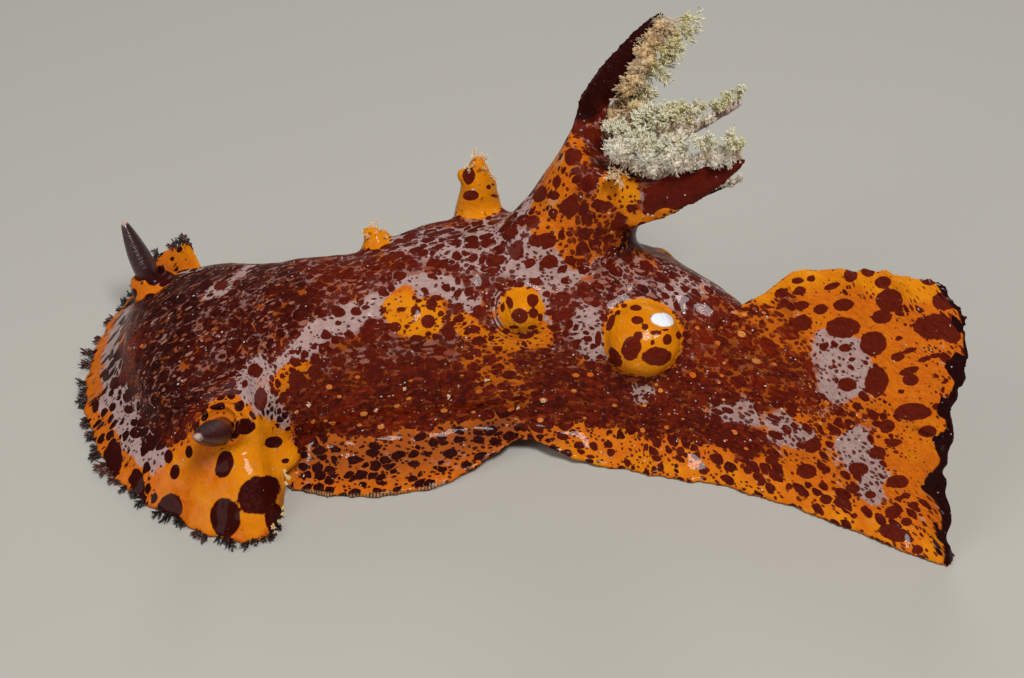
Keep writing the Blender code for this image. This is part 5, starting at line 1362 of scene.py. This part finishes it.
class Recipe:
    """A material whose nodes are added one by one."""

    def __init__(self, name):
        self.material = bpy.data.materials.new(name)
        self.material.use_nodes = True
        self.tree = self.material.node_tree
        self.tree.nodes.clear()

    def add(self, kind, settings=None, inputs=None):
        """Node of a kind: its settings first, then values or wires on its sockets."""
        node = self.tree.nodes.new(kind)
        for key, value in (settings or {}).items():
            setattr(node, key, value)
        for key, value in (inputs or {}).items():
            if isinstance(value, Wire):
                self.tree.links.new(value.socket, node.inputs[key])
            else:
                node.inputs[key].default_value = value
        return node

    def value(self, name):
        """A value per point of the mesh."""
        node = self.add("ShaderNodeAttribute", {"attribute_name": name})
        return Wire(self, node.outputs["Fac"])

    def vector(self, name):
        """A vector per point of the mesh."""
        node = self.add("ShaderNodeAttribute", {"attribute_name": name})
        return Wire(self, node.outputs["Vector"])

    def here(self):
        """Object coordinates."""
        return Wire(self, self.add("ShaderNodeTexCoord").outputs["Object"])

    def vector_maths(self, operation, a, b):
        """Vector Math node of two vectors."""
        node = self.add("ShaderNodeVectorMath", {"operation": operation}, {0: a, 1: b})
        return Wire(self, node.outputs[0])

    def noise(self, vector, size, detail=2.0, colour=False):
        """Noise whose features are about size apart."""
        node = self.add("ShaderNodeTexNoise", None,
                        {"Vector": vector, "Scale": 1.0 / size, "Detail": detail})
        return Wire(self, node.outputs["Color" if colour else "Fac"])

    def warped(self, vector, size, amount):
        """Vector shifted by coloured noise."""
        drift = self.noise(vector, size, colour=True)
        drift = self.vector_maths("SUBTRACT", drift, (0.5, 0.5, 0.5))
        drift = self.vector_maths("MULTIPLY", drift, (amount,) * 3)
        return self.vector_maths("ADD", vector, drift)

    def cells(self, vector, size):
        """Ratio of the distances to the two closest cell middles, distance to the closest,
        and two random values of its cell."""
        inputs = {"Vector": vector, "Scale": 1.0 / size}
        near, far = (self.add("ShaderNodeTexVoronoi", {"feature": feature}, inputs)
                     for feature in ("F1", "F2"))
        split = self.add("ShaderNodeSeparateColor", None, {0: Wire(self, near.outputs["Color"])})
        first = Wire(self, near.outputs["Distance"])
        return (first / Wire(self, far.outputs["Distance"]), first,
                Wire(self, split.outputs[0]), Wire(self, split.outputs[1]))

    def mix(self, factor, a, b):
        """Colour a where factor is 0, b where it is 1."""
        node = self.add("ShaderNodeMix", {"data_type": "RGBA"}, {0: factor, 6: a, 7: b})
        return Wire(self, node.outputs[2])

    def bump(self, height, distance, strength=1.0):
        """Normal from a height between 0 and 1 of that distance."""
        node = self.add("ShaderNodeBump", None,
                        {"Height": height, "Distance": distance, "Strength": strength})
        return Wire(self, node.outputs["Normal"])

    def finish(self, **sockets):
        """Principled shader with these sockets; the finished material."""
        names = {key.replace("_", " "): value for key, value in sockets.items()}
        shader = self.add("ShaderNodeBsdfPrincipled", None, names)
        self.add("ShaderNodeOutputMaterial", None, {"Surface": Wire(self, shader.outputs[0])})
        return self.material


def tint(red, green, blue):
    """Screen colour of 0 to 255 as linear light."""
    share = np.array((red, green, blue)) / 255.0
    return (*np.where(share > 0.04045, ((share + 0.055) / 1.055) ** 2.4, share / 12.92), 1.0)


def skin_finish():
    """Wet skin: maroon spots of three sizes that crowd together on orange and lilac ground."""
    r = Recipe("wet_spotted_skin")
    flow = r.vector("pattern")
    lilac, gold, black, dots = (r.value(name) for name in ("lilac", "gold", "black", "dots"))
    tiles, dust, large = (r.value(name) for name in ("tiles", "dust", "large"))
    soft = r.noise(flow, 2.2, 3.0)
    fine = r.noise(flow, 0.5, 3.0)
    ragged = (r.noise(flow, 0.45, 2.0) - 0.5) * 0.16
    bent = r.warped(flow, 1.3, 0.8)
    # Ground: deep orange, gold, lilac grey, each a little uneven and duller under dense spots
    deep_orange = r.mix(fine, tint(188, 84, 14), tint(226, 120, 22))
    bright = r.mix(soft, tint(208, 108, 6), tint(236, 150, 16))
    ground = r.mix((gold + (soft - 0.5) * 0.9).between(0.25, 0.8), deep_orange, bright)
    grey = r.mix(fine, tint(150, 112, 104), tint(198, 170, 164))
    patches = lilac + (soft - 0.5) * 1.6 + (fine - 0.5) * 0.7
    ground = r.mix(patches.between(0.40, 0.70), ground, grey)
    ground = r.mix(dust.between(0.25, 0.75) * 0.74, ground, tint(108, 38, 18))
    # Painted shade: the near foot's ground turned brown under the flank and over the arch
    ground = r.mix(r.value("painted_foot_shade"), ground, tint(128, 62, 30))

    def spots(share, size, shift):
        """Dark near the cell middles, up to where 1 - exp(-4 reach^3) meets the share."""
        moved = r.vector_maths("ADD", bent, shift)
        ratio, reach, chance, _ = r.cells(moved, size)
        level = share * (0.60 + 0.66 * chance) - ragged
        filled = 1.0 - (reach * reach * reach * -4.0).maths("EXPONENT")
        measure = filled * 0.75 + ratio * ratio * ratio * 0.25
        return (level - measure).between(-0.01, 0.05) * share.between(0.0, 0.05)

    dark = spots(tiles, 1.32, (0.0, 0.0, 0.0)).most(spots(dust, 0.54, (3.1, 7.3, 5.7)) * 0.92)
    dark = dark.most(spots(large, 2.5, (11.3, 2.9, 8.1)))
    maroon = r.mix(fine, tint(64, 12, 6), tint(108, 30, 15))
    coal = r.mix(fine, tint(22, 5, 4), tint(56, 14, 9))
    shade = r.mix((black + (soft - 0.5) * 0.8).between(0.3, 0.9), maroon, coal)
    shade = r.mix((fine + soft - 0.9).between(0.0, 0.25) * dots * 0.8, shade, tint(132, 36, 10))
    colour = r.mix(dark, ground, shade)
    # Dull pink flecks drawn out along the back, and round orange dots on flank and tail
    streaks = r.vector_maths("MULTIPLY", bent, (0.5, 1.0, 1.0))
    ratio, _, chance, other = r.cells(streaks, 0.7)
    fleck = (chance * 0.75 - 0.08 + ragged - ratio).between(0.0, 0.12) * dust.between(0.2, 0.45)
    fleck_colour = r.mix(lilac.between(0.15, 0.5) * other, tint(142, 56, 24), tint(168, 118, 104))
    colour = r.mix(fleck * 0.85, colour, fleck_colour)
    _, reach, chance, other = r.cells(flow, 1.45)
    dot = (chance * 0.25 + dots * 0.06 + ragged * 0.4 - reach).between(0.0, 0.05)
    dot = dot * dots.between(0.3, 0.6)
    colour = r.mix(dot, colour, r.mix(other, tint(214, 98, 22), tint(224, 142, 70)))
    # Blotches, rings around the second papilla, dark band of the tail's rear margin
    rough = (r.noise(flow, 1.1, 3.0) - 0.5) * 0.5
    blotch = (r.value("blotch") + rough * 0.8 + ragged).between(0.06, -0.04)
    ink = (black + (soft - 0.5) * 0.4).between(0.35, 0.95)
    brown = r.mix(fine, tint(80, 18, 8), tint(112, 34, 16))
    colour = r.mix(blotch, colour, r.mix(ink, brown, r.mix(fine, tint(34, 6, 4), tint(66, 12, 6))))
    ring = r.value("ring")
    stripe = ((ring + rough * 0.5) * 13.0).sine().between(0.15, 0.45)
    stripe = stripe * ring.between(2.7, 2.9) * ring.between(4.2, 3.7) * soft.between(0.38, 0.50)
    colour = r.mix(stripe, colour, tint(78, 18, 10))
    wave = r.noise(flow, 2.4, 2.0) * 7.5 + rough * 1.8 - 2.95
    band = (r.value("band") - wave.most(0.35)).between(0.12, -0.08)
    colour = r.mix(band, colour, r.mix(fine, tint(16, 5, 5), tint(50, 14, 12)))
    # Striped thin edge of the foot in front of the arch
    split = r.add("ShaderNodeSeparateXYZ", None, {0: flow})
    stripe = (Wire(r, split.outputs[0]) * 21.0).sine().between(-0.2, 0.5)
    edge = r.value("rim").between(0.75, 0.45)
    colour = r.mix(edge * 0.75, colour, r.mix(stripe, tint(176, 140, 96), tint(74, 44, 28)))
    # Painted glow: white patch of the large globe; then clusters of tiny white specks, painted
    # glints that also stand for pale granules
    painted_glow = (r.value("painted_glow") + rough).between(0.1, -0.15)
    colour = r.mix(painted_glow, colour, tint(244, 246, 250))
    _, reach, chance, _ = r.cells(r.warped(flow, 0.25, 0.25), 0.36)
    cluster = (r.noise(flow, 1.0, 2.0) + dust * 0.12).between(0.58, 0.66)
    # Painted glints: tiny white specks for the sparkle of the wet skin, also standing for pale
    # granules
    grain = (chance * 0.46 - 0.12 - reach).between(0.0, 0.08) * cluster
    colour = r.mix(grain * 0.85, colour, tint(240, 232, 222))
    height = fine * 0.45 + r.noise(flow, 0.22, 2.0) * 0.35 + dark * 0.15 + dot * 0.5 + grain * 0.8
    return r.finish(Base_Color=colour, Roughness=0.26 + 0.12 * fine, Normal=r.bump(height, 0.00034),
                    Specular_IOR_Level=0.02, Coat_Weight=0.20, Coat_Roughness=0.05, Coat_IOR=1.36,
                    Subsurface_Weight=0.03, Subsurface_Scale=0.0006,
                    Subsurface_Radius=(1.0, 0.35, 0.15))


def gill_finish():
    """Cream plumes, pinkish white at the ribs and yellow-green at some fine tips."""
    r = Recipe("cream_plumes")
    here = r.here()
    tone, outward, green = r.value("tone"), r.value("outward"), r.value("green")
    patch = r.noise(here, 0.0022, 2.0)
    warm = (r.value("warm") + (patch - 0.5) * 1.3).between(0.15, 0.85)
    cream = r.mix(warm, tint(244, 230, 206), tint(214, 176, 124))
    tips = r.mix(patch, tint(186, 172, 96), tint(236, 226, 160))
    hint = (outward * 0.5 + green * 0.9 + (patch - 0.5) * 1.2 - 0.8).between(0.0, 0.5)
    colour = r.mix(hint, cream, tips)
    colour = r.mix((outward + tone * 0.3).between(0.85, 1.3) * 0.7, colour, tint(246, 238, 214))
    colour = r.mix(tone.between(0.35, 0.2), colour, tint(206, 168, 140))
    return r.finish(Base_Color=colour, Roughness=0.5, Subsurface_Weight=0.3, Coat_Weight=0.1,
                    Coat_Roughness=0.2, Subsurface_Scale=0.0010,
                    Subsurface_Radius=(1.0, 0.8, 0.5))


def fringe_finish():
    """Near-black papillae of the veil's margin, browner in patches; cream where tone is high."""
    r = Recipe("dark_papillae")
    here = r.here()
    patch = r.noise(here, 0.004, 2.0)
    colour = r.mix(patch.between(0.40, 0.70), tint(20, 7, 6), tint(84, 26, 10))
    colour = r.mix(r.value("tone").between(0.4, 0.6), colour, tint(226, 196, 140))
    return r.finish(Base_Color=colour, Roughness=0.4, Coat_Weight=0.3, Coat_Roughness=0.15)


def bud_finish():
    """Gold buds with cream tips."""
    r = Recipe("gold_buds")
    colour = r.mix(r.value("tone"), tint(224, 140, 26), tint(240, 226, 190))
    return r.finish(Base_Color=colour, Roughness=0.4, Coat_Weight=0.3, Coat_Roughness=0.15)


def rhinophore_finish():
    """Dark maroon horn with a faint grain, and a pale tip that is partly its own colour and partly
    a painted highlight.
    """
    r = Recipe("dark_horn")
    here = r.here()
    tone = r.value("tone")
    grain = r.noise(here, 0.0004, 3.0)
    body = r.mix(grain, tint(32, 9, 9), tint(70, 28, 30))
    # Pale tip: partly the horn's own colour, partly a painted highlight
    colour = r.mix((tone + (grain - 0.5) * 0.1).between(0.94, 1.0), body, tint(204, 164, 150))
    return r.finish(Base_Color=colour, Roughness=0.36, Coat_Weight=0.4, Coat_Roughness=0.12,
                    Normal=r.bump(grain, 0.0001))


def floor_finish():
    """Plain pale floor."""
    r = Recipe("pale_floor")
    return r.finish(Base_Color=tint(184, 180, 170), Roughness=0.9)


# Stage: half width of the floor; place, width and watts of each lamp and the point that they
# face, in metres in the row frame; place and tilt of the camera in the design axes
FLOOR_HALF = 1200.0
LAMPS = {"key": ((0.10, -0.20, 0.46), 0.12, 1.9), "fill": ((-0.40, -0.20, 0.34), 0.30, 0.7),
         "back": ((0.05, 0.42, 0.30), 0.20, 0.5)}
LIT_POINT = (0.0, 0.0, 0.012)
EYE = np.array((0.0, -132.115, 126.957))
EYE_TILT = 48.0


def make_floor():
    """Plain pale square under the animal."""
    corners = np.array(((-1, -1, 0), (1, -1, 0), (1, 1, 0), (-1, 1, 0))) * FLOOR_HALF * MM
    mesh = bpy.data.meshes.new("floor")
    mesh.from_pydata(corners, [], [(0, 1, 2, 3)])
    mesh.materials.append(floor_finish())
    linked("floor", mesh)


def make_lights():
    """Three soft square lamps that face the animal, and a faint even sky."""
    for name, (spot, size, power) in LAMPS.items():
        lamp = bpy.data.lights.new(name, "AREA")
        lamp.size = size
        lamp.energy = power
        holder = linked(name, lamp)
        holder.location = spot
        way = np.array(LIT_POINT) - np.array(spot)
        tilt = math.atan2(math.hypot(way[0], way[1]), -way[2])
        holder.rotation_euler = (tilt, 0.0, math.atan2(way[1], way[0]) - math.pi / 2)
    world = bpy.data.worlds.new("studio")
    world.use_nodes = True
    sky = world.node_tree.nodes["Background"]
    sky.inputs["Color"].default_value = (0.75, 0.78, 0.82, 1.0)
    sky.inputs["Strength"].default_value = 0.16
    bpy.context.scene.world = world
    bpy.context.scene.view_settings.view_transform = "Standard"


def make_camera():
    """Camera at the photo's angle."""
    lens = bpy.data.cameras.new("camera")
    lens.lens = 50.0
    lens.sensor_width = 36.0
    eye = linked("camera", lens)
    eye.location = (EYE - BOX_MIDDLE) * MM
    eye.rotation_euler = (math.radians(EYE_TILT), 0.0, 0.0)
    bpy.context.scene.camera = eye


skin()
veil_fringe()
papilla_buds()
for side in RHINOPHORES:
    rhinophore(side)
for number, name in enumerate(GILL_STEMS):
    gill_plumes(name, number)
make_floor()
make_lights()
make_camera()
